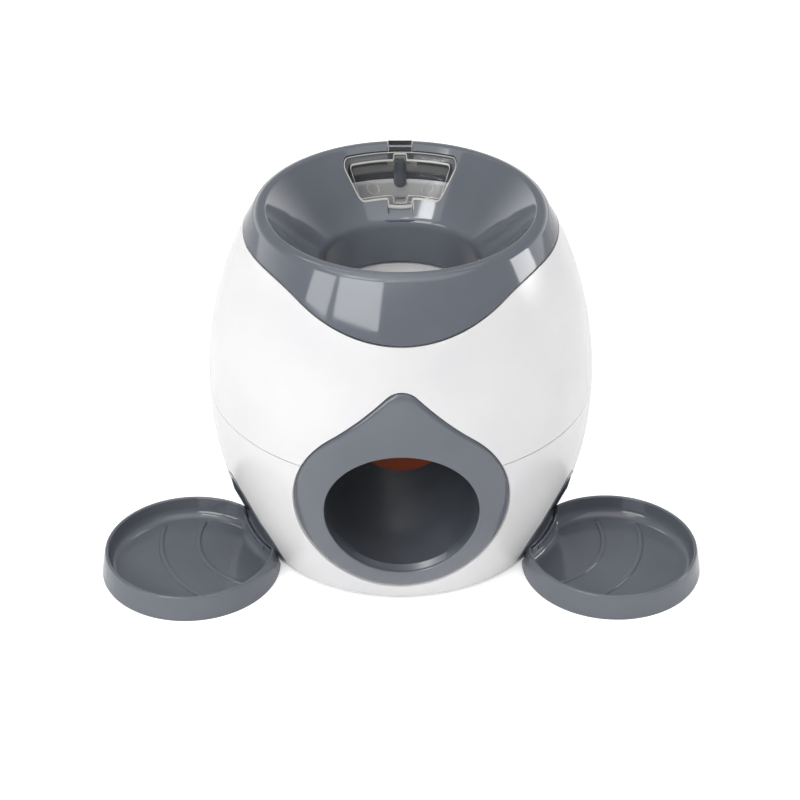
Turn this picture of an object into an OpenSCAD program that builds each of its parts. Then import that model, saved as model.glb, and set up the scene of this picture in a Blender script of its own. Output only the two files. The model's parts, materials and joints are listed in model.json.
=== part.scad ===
// Ball-drop treat dispenser for pets: a barrel body with a funnel top, a front ball exit,
// a trigger paddle that works a treat gate, and two side outlets with pull-out bowls.
// Millimetres, +Z up, front at -Y. The origin is the centre of the footprint on the floor.

/* [Body] */
// Largest diameter of the barrel
body_d = 182.4; // [178:0.2:190]
// Height of the largest diameter, where the two shells meet
waist_z = 80; // [77:0.5:83]
// Radius of the barrel's side curve
side_r = 180; // [170:1:200]
// Overall height, to the crest of the lip
height = 170.5; // [168:0.5:174]
// Wall of the shells
wall = 2.4; // [2:0.1:2.8]
// Gap between the two shells at the seam
seam_gap = 0.5; // [0.3:0.1:0.8]
// Underside of the shell above the floor
floor_gap = 2; // [1.6:0.1:2.6]

/* [Funnel] */
// Inside diameter of the neck
neck_d = 74; // [72:0.5:76]
// Length of the neck's straight part
neck_l = 18; // [15:0.5:21]
// Slope of the funnel, in degrees
funnel_slope = 49.8; // [48:0.2:51]
// Radius of the rounded lip
lip_r = 5.1; // [4.6:0.1:5.6]
// Rounding between funnel and neck
neck_round = 8; // [6:0.5:10]
// Wall of the funnel
funnel_wall = 2.8; // [2.6:0.1:3.2]
// Collar's lower edge at the sides, below the crest of the lip
collar_drop = 10.5; // [10:0.1:12]
// Lowest point of the collar's lower edge, at front and back, below the crest of the lip
collar_dip = 27.3; // [24.5:0.1:30.5]
// Radius of the dip
collar_dip_r = 94; // [88:1:100]
// Radius that blends the dip into the level edge
collar_blend_r = 40; // [30:1:50]

/* [Ball exit] */
// Diameter of the exit hole
exit_d = 71; // [69:0.5:72]
// Height of the exit hole's centre
exit_z = 58; // [57:0.5:60]
// Radius of the round part of the exit bezel
bezel_r = 49.5; // [48:0.5:51]
// Height of the round part's centre
bezel_z = 60.3; // [59.5:0.1:61.5]
// Height of the bezel's tip
bezel_tip_z = 122; // [119:0.5:125]
// Radius of the bezel's tip
bezel_tip_r = 8; // [6:0.5:10]
// Radius of the bezel's hollow flanks
bezel_flank_r = 70; // [60:1:80]
// Slope of the ball ramp, in degrees
ramp_slope = 6; // [5:0.5:7]
// Wall of the ramp and the chute
ramp_wall = 2.2; // [1.8:0.1:2.6]

/* [Treat outlets] */
// Angle of each outlet from the front, in degrees
outlet_turn = 65; // [62:1:68]
// Half width of the outlet bezel
outlet_r = 25; // [23:0.5:26]
// Height at which the outlet bezel starts to narrow
outlet_z = 14; // [12:0.5:15]
// Radius of the outlet bezel's tip
outlet_tip_r = 9; // [7:0.5:10]
// Height of the tip's centre
outlet_tip_z = 43; // [41:0.5:45]
// Width of the outlet bezel's frame
outlet_frame = 3.5; // [3:0.1:4.5]
// How far the outlet bezel stands out of the shell
outlet_proud = 1; // [0.6:0.1:1.4]

/* [Bowls] */
// Diameter of a bowl at the floor
bowl_d = 85.2; // [82:0.2:88]
// Diameter of the bowl's rim
bowl_rim_d = 80.2; // [78:0.2:81]
// Height of the bowl's rim
bowl_h = 11.7; // [10.5:0.1:13]
// Wall of a bowl
bowl_wall = 1.8; // [1.5:0.1:2.2]
// Top of the bowl's floor
bowl_floor_z = 3; // [2.6:0.1:3.6]
// Distance from the barrel's foot to a bowl's centre
bowl_out = 38.4; // [36:0.2:41]
// Width of the tongue that holds a bowl in its outlet
tongue_w = 22; // [18:0.5:22.5]

/* [Lid] */
// Length of the lid in plan
lid_l = 15.1; // [14.5:0.1:15.6]
// Distance of the lid's outer edge from the middle of the lip
lid_edge = 4.7; // [4.3:0.1:5.3]
// Half angle of the lid at its hinge edge, in degrees
lid_half = 29.2; // [28:0.2:30]
// Half angle of the lid at its tab edge, in degrees
lid_half_in = 24.7; // [24:0.1:25.4]
// Corner radius of the lid
lid_corner = 3.5; // [3:0.1:4]
// Thickness of the lid's flange
lid_t = 1.4; // [1.2:0.1:1.6]
// Depth of the lid's pan
pan_depth = 3.4; // [3:0.1:4]
// Width of the flange round the pan
lid_flange = 2.4; // [2:0.1:3]
// Width of the hinge block and the latch tab
lid_tab_w = 11.8; // [11:0.1:12.6]
// How far the latch tab stands out of the lid
lid_tab_l = 2.5; // [2:0.1:3]
// How far the finger recess reaches past the lid
finger_l = 5.5; // [5:0.1:6]

/* [Trigger and gate] */
// Lower end of the paddle below the middle of the exit
paddle_low = 6.4; // [4:0.2:8]
// Width of the paddle
paddle_w = 47; // [40:1:52]
// Thickness of the paddle
paddle_t = 3; // [2.5:0.1:3.5]
// Distance of the paddle's axle from the body's axis
axle_y = 40; // [38:0.5:42]
// Height of the neck's lower end above the paddle's axle
axle_drop = 14; // [13:0.5:15]
// Diameter of the axle and the gate shaft
axle_d = 6; // [5:0.5:6.5]
// Length of both cranks
crank_l = 14; // [12:0.5:15]
// Radius of the treat gate
gate_r = 14; // [13:0.5:15]
// Width of the slot that the gate closes
slot_w = 15; // [13:0.5:16]
// Length of the slot, and of the gate
slot_l = 28; // [24:0.5:30]
// Height of the neck's lower end above the underside of the hopper bin
bin_drop = 28; // [26:0.5:30]
// Wall of the hopper bin
bin_wall = 1.8; // [1.5:0.1:2.2]
// Half angle of the hopper bin, in degrees
bin_half = 40; // [38:0.5:41]

/* [Slides and base] */
// Height of the gate above the slides where they part, at the back
slide_drop = 11.7; // [10:0.1:13]
// Height of the slides' floor at the outlets
slide_low_z = 12; // [11.5:0.1:13]
// Height of a slide's side walls
slide_wall_h = 8; // [6:0.5:9]
// Thickness of a slide's floor and walls
slide_t = 2.4; // [2:0.1:3]
// Thickness of the base plate
base_t = 2.4; // [2:0.1:3]
// Diameter of a rubber foot
foot_d = 14; // [12:0.5:16]
// Distance of the feet's centres from the edge of the base plate
foot_in = 16.4; // [14:0.1:20]

/* [Fits] */
// Gap between pieces that lie side by side
gap = 0.3; // [0.2:0.05:0.4]
// Radial clearance of a running fit
run_fit = 0.05; // [0.03:0.01:0.08]

/* [Hidden] */
$fn = 144;

white = "#f1f1f0";
grey = "#6b6f78";
dark_grey = "#4a4d54";
orange = "#c8571e";
steel = "#b9bcc0";
smoke = "#8d9298";
black = "#26272a";

big = 400;
over = 1;
arc_steps = 10;

// Barrel
body_r = body_d / 2;
arc_x = body_r - side_r;
inset = 0.2;
lap = 1.8;
lap_h = 4;
ledge_w = 3;
ledge_h = 2.6;
base_top = floor_gap + base_t;
base_r = barrel_r(floor_gap, -wall - gap);
foot_reach = base_r - foot_in;

// Funnel: the lip lies just inside the barrel's surface, and the cone is tangent to it
neck_r = neck_d / 2;
lip_z = height - lip_r;
lip_x = barrel_r(lip_z, -inset) - lip_r;
skirt_top = lip_z + 1;
cone_x = lip_x - lip_r * sin(funnel_slope);
cone_z = lip_z + lip_r * cos(funnel_slope);
neck_round_z = cone_height(neck_r + neck_round * (1 - sin(funnel_slope))) - neck_round * cos(funnel_slope);
neck_z = neck_round_z - neck_l;
collar_z = height - collar_drop;
collar_dip_z = height - collar_dip;

// Chute and ramp
exit_r = exit_d / 2;
ramp_l = body_r / cos(ramp_slope);
ramp_rim = 4;
chute_in_r = neck_r + funnel_wall + gap;
chute_r = chute_in_r + ramp_wall;
chute_lap = 6;
chute_top = neck_z + chute_lap;
axle_z = neck_z - axle_drop;
chute_seat_r = exit_r + 0.5;
mouth_w = exit_d + 2 * ramp_wall + 2 * gap;
ear_t = 2.6;
ear_x = mouth_w / 2 + 0.2;
ear_r = 8;
mouth_top = axle_z + ear_r;
sole_w = 16;
sole_proud = 0.6;
post_t = 3;
ramp_posts = [body_r / 2, body_r / 11];

// Trigger
paddle_l = axle_z - exit_z + paddle_low;
axle_r = axle_d / 2;
boss_rim = 2.5;
hub_r = axle_r + boss_rim;
axle_over = 2;
crank_t = 3;
crank_x = chute_r + 2;
crank_eye = 3.5;
pin_r = 2;
pin_over = 1;
rod_x = crank_x + crank_t + 0.2;
rod_t = 3;
rod_w = 6;
open_pivot_fit = 0.5;

// Lid, and its hinge just below the lip's surface
lid_out_r = lip_x - lid_edge;
lid_in_r = lid_out_r - lid_l;
lid_clear = 5.2;
hinge_depth = 2;
hinge_lean = 115;
hinge_y = lip_x + (lip_r - hinge_depth) * cos(hinge_lean);
hinge_z = lip_z + (lip_r - hinge_depth) * sin(hinge_lean);
hinge_pin_r = 0.9;
hinge_pin_l = 24;
hinge_sweep = 2 * lip_r - hinge_depth;
lid_level = cone_z * cos(funnel_slope) - cone_x * sin(funnel_slope);
lid_below = pan_depth + lid_t + funnel_wall;
pan_draft = 0.8;
lid_step = 0.12;
arm_rise = 0.5;

// Hopper bin and gate
bin_z = neck_z - bin_drop;
gate_clear = 1;
gate_y = chute_r + gate_r + gate_clear;
gate_z = bin_z - gap - gate_r;
shaft_r = axle_r - 0.5;
bin_in_r = chute_r + gap;
bin_out_r = max(gate_y + slot_w / 2, lid_out_r + lid_clear) + bin_wall;
gate_ear_rim = 3;
gate_ear_w = 2.5;
bin_lean = 0.7;
bin_top = lip_z - lip_r - gate_clear;
gate_skin = 1.8;
gate_over = 0.5;
gate_cheek = 2;
gate_shaft_over = 3;
gate_ear_x = slot_l / 2 + 3;

// Outlets and bowls
window_z = base_top + 0.6;
flange_w = 2.5;
tongue_t = 2;
tongue_z = window_z + 1.6;
tongue_in = 8;
tongue_end = barrel_r(tongue_z) - tongue_in;
bowl_back_h = 9.2;
bowl_cut = outlet_proud + gap;
tongue_sink = 0.1;
tongue_root = barrel_r(tongue_z + tongue_t, bowl_cut) + tongue_sink;
bowl_reach = barrel_r(0) + bowl_out;
bowl_r = bowl_d / 2;
bowl_rim_r = bowl_rim_d / 2;
bowl_base_z = 1;
rib_back = 45.8;
bowl_ribs = [43, 61];
bowl_rib_w = 3;
bowl_rib_h = 0.8;

// Slides
slide_top_z = gate_z - gate_r - slide_drop;
slide_in_r = chute_r + gap;
slide_out_r = barrel_r(slide_low_z - slide_t, -wall - lap - gap);
slide_end = outlet_turn - 14;
slide_gate = outlet_turn + 19;
slide_dish = 5;
slide_steps = 26;
slide_post_turn = 150;
slide_post_r = 2.4;

function barrel_r(z, off = 0) = arc_x + sqrt(pow(side_r + off, 2) - pow(z - waist_z, 2));
function cone_height(r, depth = 0) = cone_z - (cone_x - r) * tan(funnel_slope) - depth / cos(funnel_slope);
function arc(c, r, a0, a1, n = arc_steps) =
    [for (i = [0:n]) let (a = a0 + (a1 - a0) * i / n) [c[0] + r * cos(a), c[1] + r * sin(a)]];
// Height of the ramp's floor above the exit's sill, y behind the front as the ramp runs
function y_rise(y) = (body_r - y) * tan(ramp_slope);
function mirrored(points) = [for (i = [len(points) - 1:-1:0]) [-points[i][0], points[i][1]]];

// Solid barrel, its side moved outwards by off
module barrel(off, z0, z1) {
    rotate_extrude()
        intersection() {
            translate([arc_x, waist_z]) circle(side_r + off);
            translate([0, z0]) square([big, z1 - z0]);
        }
}

// Barrel wall between two offsets of the side
module barrel_wall(off_out, off_in, z0, z1) {
    rotate_extrude()
        intersection() {
            translate([arc_x, waist_z])
                difference() {
                    circle(side_r + off_out);
                    circle(side_r + off_in);
                }
            translate([0, z0]) square([big, z1 - z0]);
        }
}

// An outline drawn in X and Z, pushed out towards the front from the body's axis
module to_front(length = big) {
    rotate([90, 0, 0]) linear_extrude(length) children();
}

// Turns a shape that faces the front to the left (-1) or right (1) outlet
module at_outlet(side) {
    rotate([0, 0, side * outlet_turn]) children();
}

// A round bar along X from x0 to x1
module bar_x(r, x0, x1, y, z) {
    translate([x0, y, z]) rotate([0, 90, 0]) cylinder(r = r, h = x1 - x0);
}

// Everything above the collar's lower edge, seen from the front; d lowers the edge
module collar_zone(d) {
    dip_z = collar_dip_z + collar_dip_r;
    blend_z = collar_z - collar_blend_r;
    reach = collar_dip_r + collar_blend_r;
    blend_x = sqrt(pow(reach, 2) - pow(dip_z - blend_z, 2));
    turn = atan2(dip_z - blend_z, blend_x);
    half = concat(
        arc([0, dip_z], collar_dip_r + d, -90, -turn, 14),
        arc([blend_x, blend_z], collar_blend_r - d, 180 - turn, 90),
        [[big / 2, collar_z - d], [big / 2, big]]);
    polygon(concat(half, mirrored(half)));
}

// Outline of the exit bezel: a round plate with a pointed top; d moves it outwards
module exit_outline(d) {
    tip_z = bezel_tip_z - bezel_tip_r;
    rise = tip_z - bezel_z;
    low = bezel_r + bezel_flank_r;
    high = bezel_tip_r + bezel_flank_r;
    up = (low * low - high * high + rise * rise) / (2 * rise);
    side = sqrt(low * low - up * up);
    low_turn = atan2(up, side);
    high_turn = atan2(up - rise, side);
    half = concat(
        arc([0, bezel_z], bezel_r + d, -90, low_turn, 22),
        arc([side, bezel_z + up], bezel_flank_r - d, 180 + low_turn, 180 + high_turn),
        arc([0, tip_z], bezel_tip_r + d, high_turn, 90, 6));
    polygon(concat(half, mirrored(half)));
}

// Outline of an outlet bezel: a pointed arch on a straight sill; d moves it outwards
module outlet_outline(d, sill_z = window_z) {
    turn = asin((outlet_r - outlet_tip_r) / (outlet_tip_z - outlet_z));
    half = concat(
        [[outlet_r + d, sill_z]],
        arc([0, outlet_z], outlet_r + d, 0, turn),
        arc([0, outlet_tip_z], outlet_tip_r + d, turn, 90));
    polygon(concat(half, mirrored(half)));
}

// Point of the funnel's surface above plan point p, seen along the funnel's normal at the back
function on_slope(p) = [p[0], p[1] * cos(funnel_slope) + cone_height(norm(p)) * sin(funnel_slope)];

// Prism of the lid's outline, a ring sector about +Y with leaning sides and round corners, square
// to the funnel wall at the back; d moves the outline outwards
module lid_prism(d) {
    r0 = lid_in_r - d;
    r1 = lid_out_r + d;
    c = max(lid_corner + d, lid_t);
    wide = lid_out_r * [sin(lid_half), cos(lid_half)];
    narrow = lid_in_r * [sin(lid_half_in), cos(lid_half_in)];
    lean = atan2(wide[0] - narrow[0], wide[1] - narrow[1]);
    off = wide[0] * cos(lean) - wide[1] * sin(lean) + d - c;
    out_turn = lean + asin(off / (r1 - c));
    in_turn = lean + asin(off / (r0 + c));
    side = concat(
        arc([0, 0], r1, 90, 90 - out_turn),
        arc((r1 - c) * [sin(out_turn), cos(out_turn)], c, 90 - out_turn, -lean),
        arc((r0 + c) * [sin(in_turn), cos(in_turn)], c, -lean, -90 - in_turn),
        arc([0, 0], r0, 90 - in_turn, 90));
    outline = [for (p = side) on_slope(p)];
    rotate([funnel_slope, 0, 0]) translate([0, 0, lid_level - lid_below])
        linear_extrude(lid_below + lid_out_r / 2) polygon(concat(outline, mirrored(outline)));
}

// Layer of the funnel's cone between two depths below its surface
module cone_layer(depth0, depth1, r0, r1) {
    rotate_extrude()
        polygon([[r0, cone_height(r0, depth1)], [r1, cone_height(r1, depth1)],
            [r1, cone_height(r1, depth0)], [r0, cone_height(r0, depth0)]]);
}

// White shells

// Cuts for the exit bezel and the outlet bezels, d outside their outlines
module bezel_cuts(d) {
    to_front() exit_outline(d);
    for (side = [-1, 1]) at_outlet(side) to_front() outlet_outline(d, window_z - d);
}

module lower_shell() {
    color(white) {
        difference() {
            barrel_wall(0, -wall, floor_gap, waist_z);
            bezel_cuts(gap);
        }
        difference() {
            union() {
                barrel_wall(-wall / 2, -wall - lap, waist_z - lap_h, waist_z);
                barrel_wall(-wall - gap, -wall - lap, waist_z - lap_h, waist_z + lap_h);
                barrel_wall(-wall / 2, -wall - ledge_w, base_top, base_top + ledge_h);
            }
            bezel_cuts(flange_w + gap);
        }
    }
}

module upper_shell() {
    color(white)
        difference() {
            barrel_wall(0, -wall, waist_z + seam_gap, lip_z);
            rotate([90, 0, 0]) linear_extrude(big, center = true) collar_zone(gap);
            to_front() exit_outline(gap);
        }
}

// Funnel and collar, one grey moulding

module funnel() {
    lip = [lip_x, lip_z];
    neck_c = [neck_r + neck_round, neck_round_z];
    lip_end = 90 + funnel_slope + acos((lip_r - funnel_wall) / lip_r) - 360;
    rotate_extrude()
        polygon(concat(
            [[neck_r, neck_z]],
            arc(neck_c, neck_round, 180, 90 + funnel_slope),
            arc(lip, lip_r, 90 + funnel_slope, lip_end, 24),
            arc(neck_c, neck_round - funnel_wall, 90 + funnel_slope, 180),
            [[neck_r + funnel_wall, neck_z]]));
}

module collar_skirt() {
    intersection() {
        barrel_wall(-inset, -wall - lap, collar_dip_z - lap_h, skirt_top);
        rotate([90, 0, 0]) linear_extrude(big, center = true) collar_zone(-gap);
    }
    intersection() {
        barrel_wall(-wall - gap, -wall - lap, collar_dip_z - 2 * lap_h, lip_z);
        rotate([90, 0, 0]) linear_extrude(big, center = true) collar_zone(lap_h);
    }
}

module lid_seat() {
    tab = lid_tab_w + 2 * gap;
    lid_prism(gap - lid_flange);
    intersection() {
        cone_layer(-big / 4, lid_t + gap, over, lip_x);
        lid_prism(gap);
    }
    intersection() {
        cone_layer(-big / 4, lid_t + gap, over, lip_x);
        translate([-tab / 2, lid_in_r - finger_l, 0]) cube([tab, finger_l + lid_flange, big]);
    }
    translate([-tab / 2, lid_out_r - lid_flange - over, hinge_z - hinge_sweep - gap])
        cube([tab, big / 4, big / 4]);
}

module funnel_collar() {
    color(grey)
        difference() {
            union() {
                funnel();
                collar_skirt();
            }
            lid_seat();
            bar_x(hinge_pin_r + run_fit, -hinge_pin_l / 2 - gap, hinge_pin_l / 2 + gap, hinge_y, hinge_z);
        }
}

// Grey bezels

module exit_bezel() {
    color(grey)
        difference() {
            union() {
                intersection() {
                    barrel_wall(-inset, -wall - lap, floor_gap, height);
                    to_front() exit_outline(-gap / 2);
                }
                intersection() {
                    barrel_wall(-wall - gap, -wall - lap, floor_gap, height);
                    to_front() exit_outline(flange_w);
                }
            }
            rotate([90, 0, 0]) translate([0, exit_z, 0]) cylinder(r = exit_r, h = big);
        }
}

module outlet_bezel(side) {
    color(grey)
        at_outlet(side)
            difference() {
                union() {
                    intersection() {
                        barrel_wall(outlet_proud, -wall - lap, floor_gap, height);
                        to_front() outlet_outline(-gap / 2, window_z);
                    }
                    intersection() {
                        barrel_wall(-wall - gap, -wall - lap, floor_gap, height);
                        to_front() outlet_outline(flange_w, base_top + gap);
                    }
                }
                to_front() outlet_outline(-outlet_frame, slide_low_z - gap);
                translate([-tongue_w / 2 - gap, -big, tongue_z - gap])
                    cube([tongue_w + 2 * gap, big, tongue_t + 2 * gap]);
            }
}

module left_outlet_bezel() outlet_bezel(-1);

module right_outlet_bezel() outlet_bezel(1);

// Base plate and feet

module at_foot(side, end) {
    translate([side * foot_reach * sin(45), end * foot_reach * cos(45), 0]) children();
}

module base_plate() {
    color(dark_grey)
        difference() {
            translate([0, 0, floor_gap]) cylinder(r = base_r, h = base_t);
            for (side = [-1, 1], end = [-1, 1])
                at_foot(side, end) cylinder(r = foot_d / 2 + gap, h = floor_gap + base_t / 2);
        }
}

module foot(side, end) {
    color(black) at_foot(side, end) cylinder(r = foot_d / 2, h = floor_gap + base_t / 2);
}

module front_left_foot() foot(-1, -1);

module front_right_foot() foot(1, -1);

module back_left_foot() foot(-1, 1);

module back_right_foot() foot(1, 1);

// Ball ramp and chute

module on_ramp() {
    translate([0, -body_r, exit_z]) rotate([ramp_slope, 0, 0]) children();
}

// Round-ended bar along the ramp
module ramp_bar(r) {
    translate([0, ramp_l, 0]) rotate([90, 0, 0]) {
        sphere(r);
        cylinder(r = r, h = ramp_l + exit_r);
    }
}

module ball_ramp() {
    color(dark_grey)
        intersection() {
            difference() {
                union() {
                    on_ramp() ramp_bar(exit_r + ramp_wall);
                    on_ramp() translate([-sole_w / 2, -exit_r, -exit_r - ramp_wall - sole_proud])
                        cube([sole_w, ramp_l, ramp_wall]);
                    for (y = ramp_posts)
                        translate([-sole_w / 2, -y - post_t / 2, base_top])
                            cube([sole_w, post_t, exit_z - exit_r - base_top + y_rise(y)]);
                }
                on_ramp() ramp_bar(exit_r);
                on_ramp() translate([-big / 2, -big / 2, ramp_rim]) cube(big);
            }
            barrel(-wall - lap - gap, base_top, height);
        }
}

module ball_chute() {
    color(white)
        difference() {
            union() {
                cylinder(r = chute_r, h = chute_top);
                for (side = [-1, 1]) {
                    x0 = side * (ear_x + ear_t / 2) - ear_t / 2;
                    bar_x(ear_r, x0, x0 + ear_t, -axle_y, axle_z);
                    translate([x0, -axle_y, axle_z - ear_r])
                        cube([ear_t, axle_y - chute_r / 4, 2 * ear_r]);
                }
            }
            translate([0, 0, exit_z]) cylinder(r = chute_seat_r, h = big);
            intersection() {
                cylinder(r = chute_in_r, h = big);
                on_ramp() translate([-big / 2, -big / 2, ramp_rim + ramp_wall]) cube(big);
            }
            on_ramp() translate([-big / 2, -big / 2, ramp_rim - big]) cube(big);
            translate([-mouth_w / 2, -big, 0]) cube([mouth_w, big, mouth_top]);
            bar_x(axle_r + run_fit, -big / 2, big / 2, -axle_y, axle_z);
        }
}

// Hopper bin behind the chute, with a sloped floor down to the gate's slot

module bin_sector(in_r, out_r, half, top) {
    rotate([0, 0, 90 - half])
        rotate_extrude(angle = 2 * half) translate([in_r, 0]) square([out_r - in_r, top]);
}

// The bin's cross-section in X and Z, d inside its outer face
module bin_trough(d) {
    low = slot_l / 2 + bin_wall - d;
    half = [[low, bin_z + d], [low + big / bin_lean, bin_z + d + big]];
    rotate([90, 0, 0]) linear_extrude(big, center = true) polygon(concat(half, mirrored(half)));
}

module hopper_bin() {
    wall_turn = asin(bin_wall / bin_in_r);
    ear = shaft_r + gate_ear_rim;
    color(white)
        difference() {
            union() {
                intersection() {
                    bin_sector(bin_in_r, bin_out_r, bin_half, bin_top);
                    bin_trough(0);
                    barrel(-wall - lap - gap, base_top, height);
                }
                for (side = [-1, 1]) {
                    x0 = side * gate_ear_x - gate_ear_w / 2;
                    bar_x(ear, x0, x0 + gate_ear_w, gate_y, gate_z);
                    translate([x0, gate_y - ear, gate_z])
                        cube([gate_ear_w, 2 * ear, bin_z - gate_z + 2 * bin_wall]);
                }
            }
            intersection() {
                bin_sector(bin_in_r + bin_wall, bin_out_r - bin_wall, bin_half - wall_turn, height);
                bin_trough(bin_wall);
            }
            translate([-slot_l / 2, gate_y - slot_w / 2, 0]) cube([slot_l, slot_w, bin_z + 2 * bin_wall]);
            cone_layer(-big / 4, funnel_wall + gap, over, lip_x);
            intersection() {
                cone_layer(-big / 4, pan_depth + lid_t + gap, over, lip_x);
                lid_prism(gap - lid_flange);
            }
            bar_x(shaft_r + run_fit, -big / 2, big / 2, gate_y, gate_z);
        }
}

// Treat slides: a dished channel that winds down round the chute from the back to an outlet

function slide_z(turn) = slide_low_z + slide_dish
    + (slide_top_z - slide_low_z - slide_dish) * (turn - slide_end) / (180 - slide_end);
function slide_rim(turn) = turn > slide_gate ? slide_wall_h : 0.4;

// Points of the channel's section at one turn, from the inner rim round to the underside
function slide_section(turn, side) =
    let (
        z = slide_z(turn),
        low = z - slide_dish,
        edge = slide_t,
        section = [
            [slide_in_r, z + slide_wall_h], [slide_in_r + edge, z + slide_wall_h], [slide_in_r + edge, z],
            [slide_out_r - edge, low], [slide_out_r - edge, low + slide_rim(turn)],
            [slide_out_r, low + slide_rim(turn)], [slide_out_r, low - slide_t], [slide_in_r, z - slide_t]])
    [for (p = section) [side * p[0] * sin(turn), -p[0] * cos(turn), p[1]]];

module slide_channel(side) {
    back = 180 - asin(gap / slide_in_r);
    rings = [for (i = [0:slide_steps]) slide_section(slide_end + (back - slide_end) * i / slide_steps, side)];
    n = len(rings[0]);
    walls = [for (i = [0:slide_steps - 1], k = [0:n - 1])
        let (a = i * n + k, b = i * n + (k + 1) % n, c = a + n, d = b + n)
        each [[a, b, d], [a, d, c]]];
    end_cap = [[0, 1, 2], [0, 2, 7], [2, 3, 7], [3, 6, 7], [3, 4, 5], [3, 5, 6]];
    caps = concat(
        [for (f = end_cap) [f[2], f[1], f[0]]],
        [for (f = end_cap) [for (k = f) slide_steps * n + k]]);
    faces = concat(walls, caps);
    polyhedron([for (ring = rings) each ring],
        side < 0 ? faces : [for (f = faces) [for (k = [len(f) - 1:-1:0]) f[k]]]);
}

module slide(side) {
    post_reach = (slide_in_r + slide_out_r) / 2;
    post_top = slide_z(slide_post_turn) - slide_dish / 2 - slide_t / 2;
    color(dark_grey) {
        slide_channel(side);
        rotate([0, 0, side * slide_post_turn])
            translate([0, -post_reach, base_top]) cylinder(r = slide_post_r, h = post_top - base_top);
    }
}

module left_slide() slide(-1);

module right_slide() slide(1);

// Hopper lid, a clear pan that lies flush in the funnel

module hopper_lid() {
    color(smoke)
        difference() {
            union() {
                intersection() {
                    cone_layer(0, lid_t, over, lip_x);
                    lid_prism(0);
                    cylinder(r = lid_out_r - gap, h = big);
                }
                intersection() {
                    cone_layer(lid_t / 2, pan_depth + lid_t, over, lip_x);
                    lid_prism(-lid_flange - pan_draft);
                }
                intersection() {
                    cone_layer(lid_step, lid_t - lid_step, over, lip_x);
                    translate([-lid_tab_w / 2, lid_in_r - lid_tab_l, 0])
                        cube([lid_tab_w, lid_tab_l + lid_flange, big]);
                }
                intersection() {
                    union() {
                        cone_layer(lid_step, 2 * lid_t, lid_out_r - lid_flange, cone_x);
                        bar_x(lip_r, -lip_x, lip_x, lip_x, lip_z);
                    }
                    translate([-lid_tab_w / 2, lid_in_r, lip_z + arm_rise]) cube([lid_tab_w, big, big]);
                }
            }
            intersection() {
                cone_layer(-big / 4, pan_depth, over, lip_x);
                lid_prism(-lid_flange - pan_draft - lid_t);
            }
            bar_x(hinge_pin_r + run_fit, -lip_x, lip_x, hinge_y, hinge_z);
        }
}

module lid_hinge_pin() {
    color(steel) bar_x(hinge_pin_r, -hinge_pin_l / 2, hinge_pin_l / 2, hinge_y, hinge_z);
}

// Trigger: paddle, axle and crank turn together

module trigger_paddle() {
    half = paddle_w / 2;
    color(orange)
        difference() {
            union() {
                bar_x(hub_r, -half, half, -axle_y, axle_z);
                translate([0, -axle_y + paddle_t / 2, 0])
                    to_front(paddle_t)
                        intersection() {
                            translate([-half, axle_z - paddle_l]) square([paddle_w, paddle_l]);
                            union() {
                                translate([-half, axle_z - paddle_l + half]) square([paddle_w, paddle_l]);
                                translate([0, axle_z - paddle_l + half]) circle(half);
                            }
                        }
            }
            bar_x(axle_r + run_fit, -paddle_w, paddle_w, -axle_y, axle_z);
        }
}

module paddle_axle() {
    color(steel) bar_x(axle_r, -ear_x - ear_t - axle_over, crank_x + crank_t, -axle_y, axle_z);
}

// Crank that hangs from a shaft, with the pin that carries the rod
module crank(shaft, y, z) {
    color(grey)
        difference() {
            union() {
                bar_x(shaft + boss_rim, crank_x, crank_x + crank_t, y, z);
                bar_x(crank_eye, crank_x, crank_x + crank_t, y, z - crank_l);
                translate([crank_x, y - crank_eye, z - crank_l]) cube([crank_t, 2 * crank_eye, crank_l]);
                bar_x(pin_r, crank_x, rod_x + rod_t + pin_over, y, z - crank_l);
            }
            bar_x(shaft + run_fit, crank_x - over, rod_x, y, z);
        }
}

module paddle_crank() crank(axle_r, -axle_y, axle_z);

module gate_crank() crank(shaft_r, gate_y, gate_z);

module drive_rod() {
    front_z = axle_z - crank_l;
    back_z = gate_z - crank_l;
    run = gate_y + axle_y;
    eye = pin_r + boss_rim;
    length = sqrt(run * run + pow(front_z - back_z, 2));
    color(steel)
        difference() {
            union() {
                bar_x(eye, rod_x, rod_x + rod_t, -axle_y, front_z);
                bar_x(eye, rod_x, rod_x + rod_t, gate_y, back_z);
                translate([rod_x, -axle_y, front_z]) rotate([-atan2(front_z - back_z, run), 0, 0])
                    translate([0, eye - over, -rod_w / 2])
                        cube([rod_t, length - 2 * (eye - over), rod_w]);
            }
            bar_x(pin_r + run_fit, rod_x - over, rod_x + rod_t + over, -axle_y, front_z);
            bar_x(pin_r + open_pivot_fit, rod_x - over, rod_x + rod_t + over, gate_y, back_z);
        }
}

// Treat gate: a curved shutter on two cheeks, turned by its shaft

module treat_gate() {
    half = slot_l / 2 + gate_over;
    color(orange)
        difference() {
            union() {
                intersection() {
                    difference() {
                        bar_x(gate_r, -half, half, gate_y, gate_z);
                        bar_x(gate_r - gate_skin, -half - over, half + over, gate_y, gate_z);
                    }
                    translate([-half, gate_y - gate_r, gate_z + gate_r / 2])
                        cube([2 * half, 2 * gate_r, gate_r]);
                }
                bar_x(gate_r - gate_skin / 2, -half, -half + gate_cheek, gate_y, gate_z);
                bar_x(gate_r - gate_skin / 2, half - gate_cheek, half, gate_y, gate_z);
                bar_x(shaft_r + gate_cheek, -half, half, gate_y, gate_z);
            }
            bar_x(shaft_r + run_fit, -half - over, half + over, gate_y, gate_z);
        }
}

module gate_shaft() {
    color(steel) bar_x(shaft_r, -gate_ear_x - gate_shaft_over, crank_x + crank_t, gate_y, gate_z);
}

// Bowls

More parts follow.
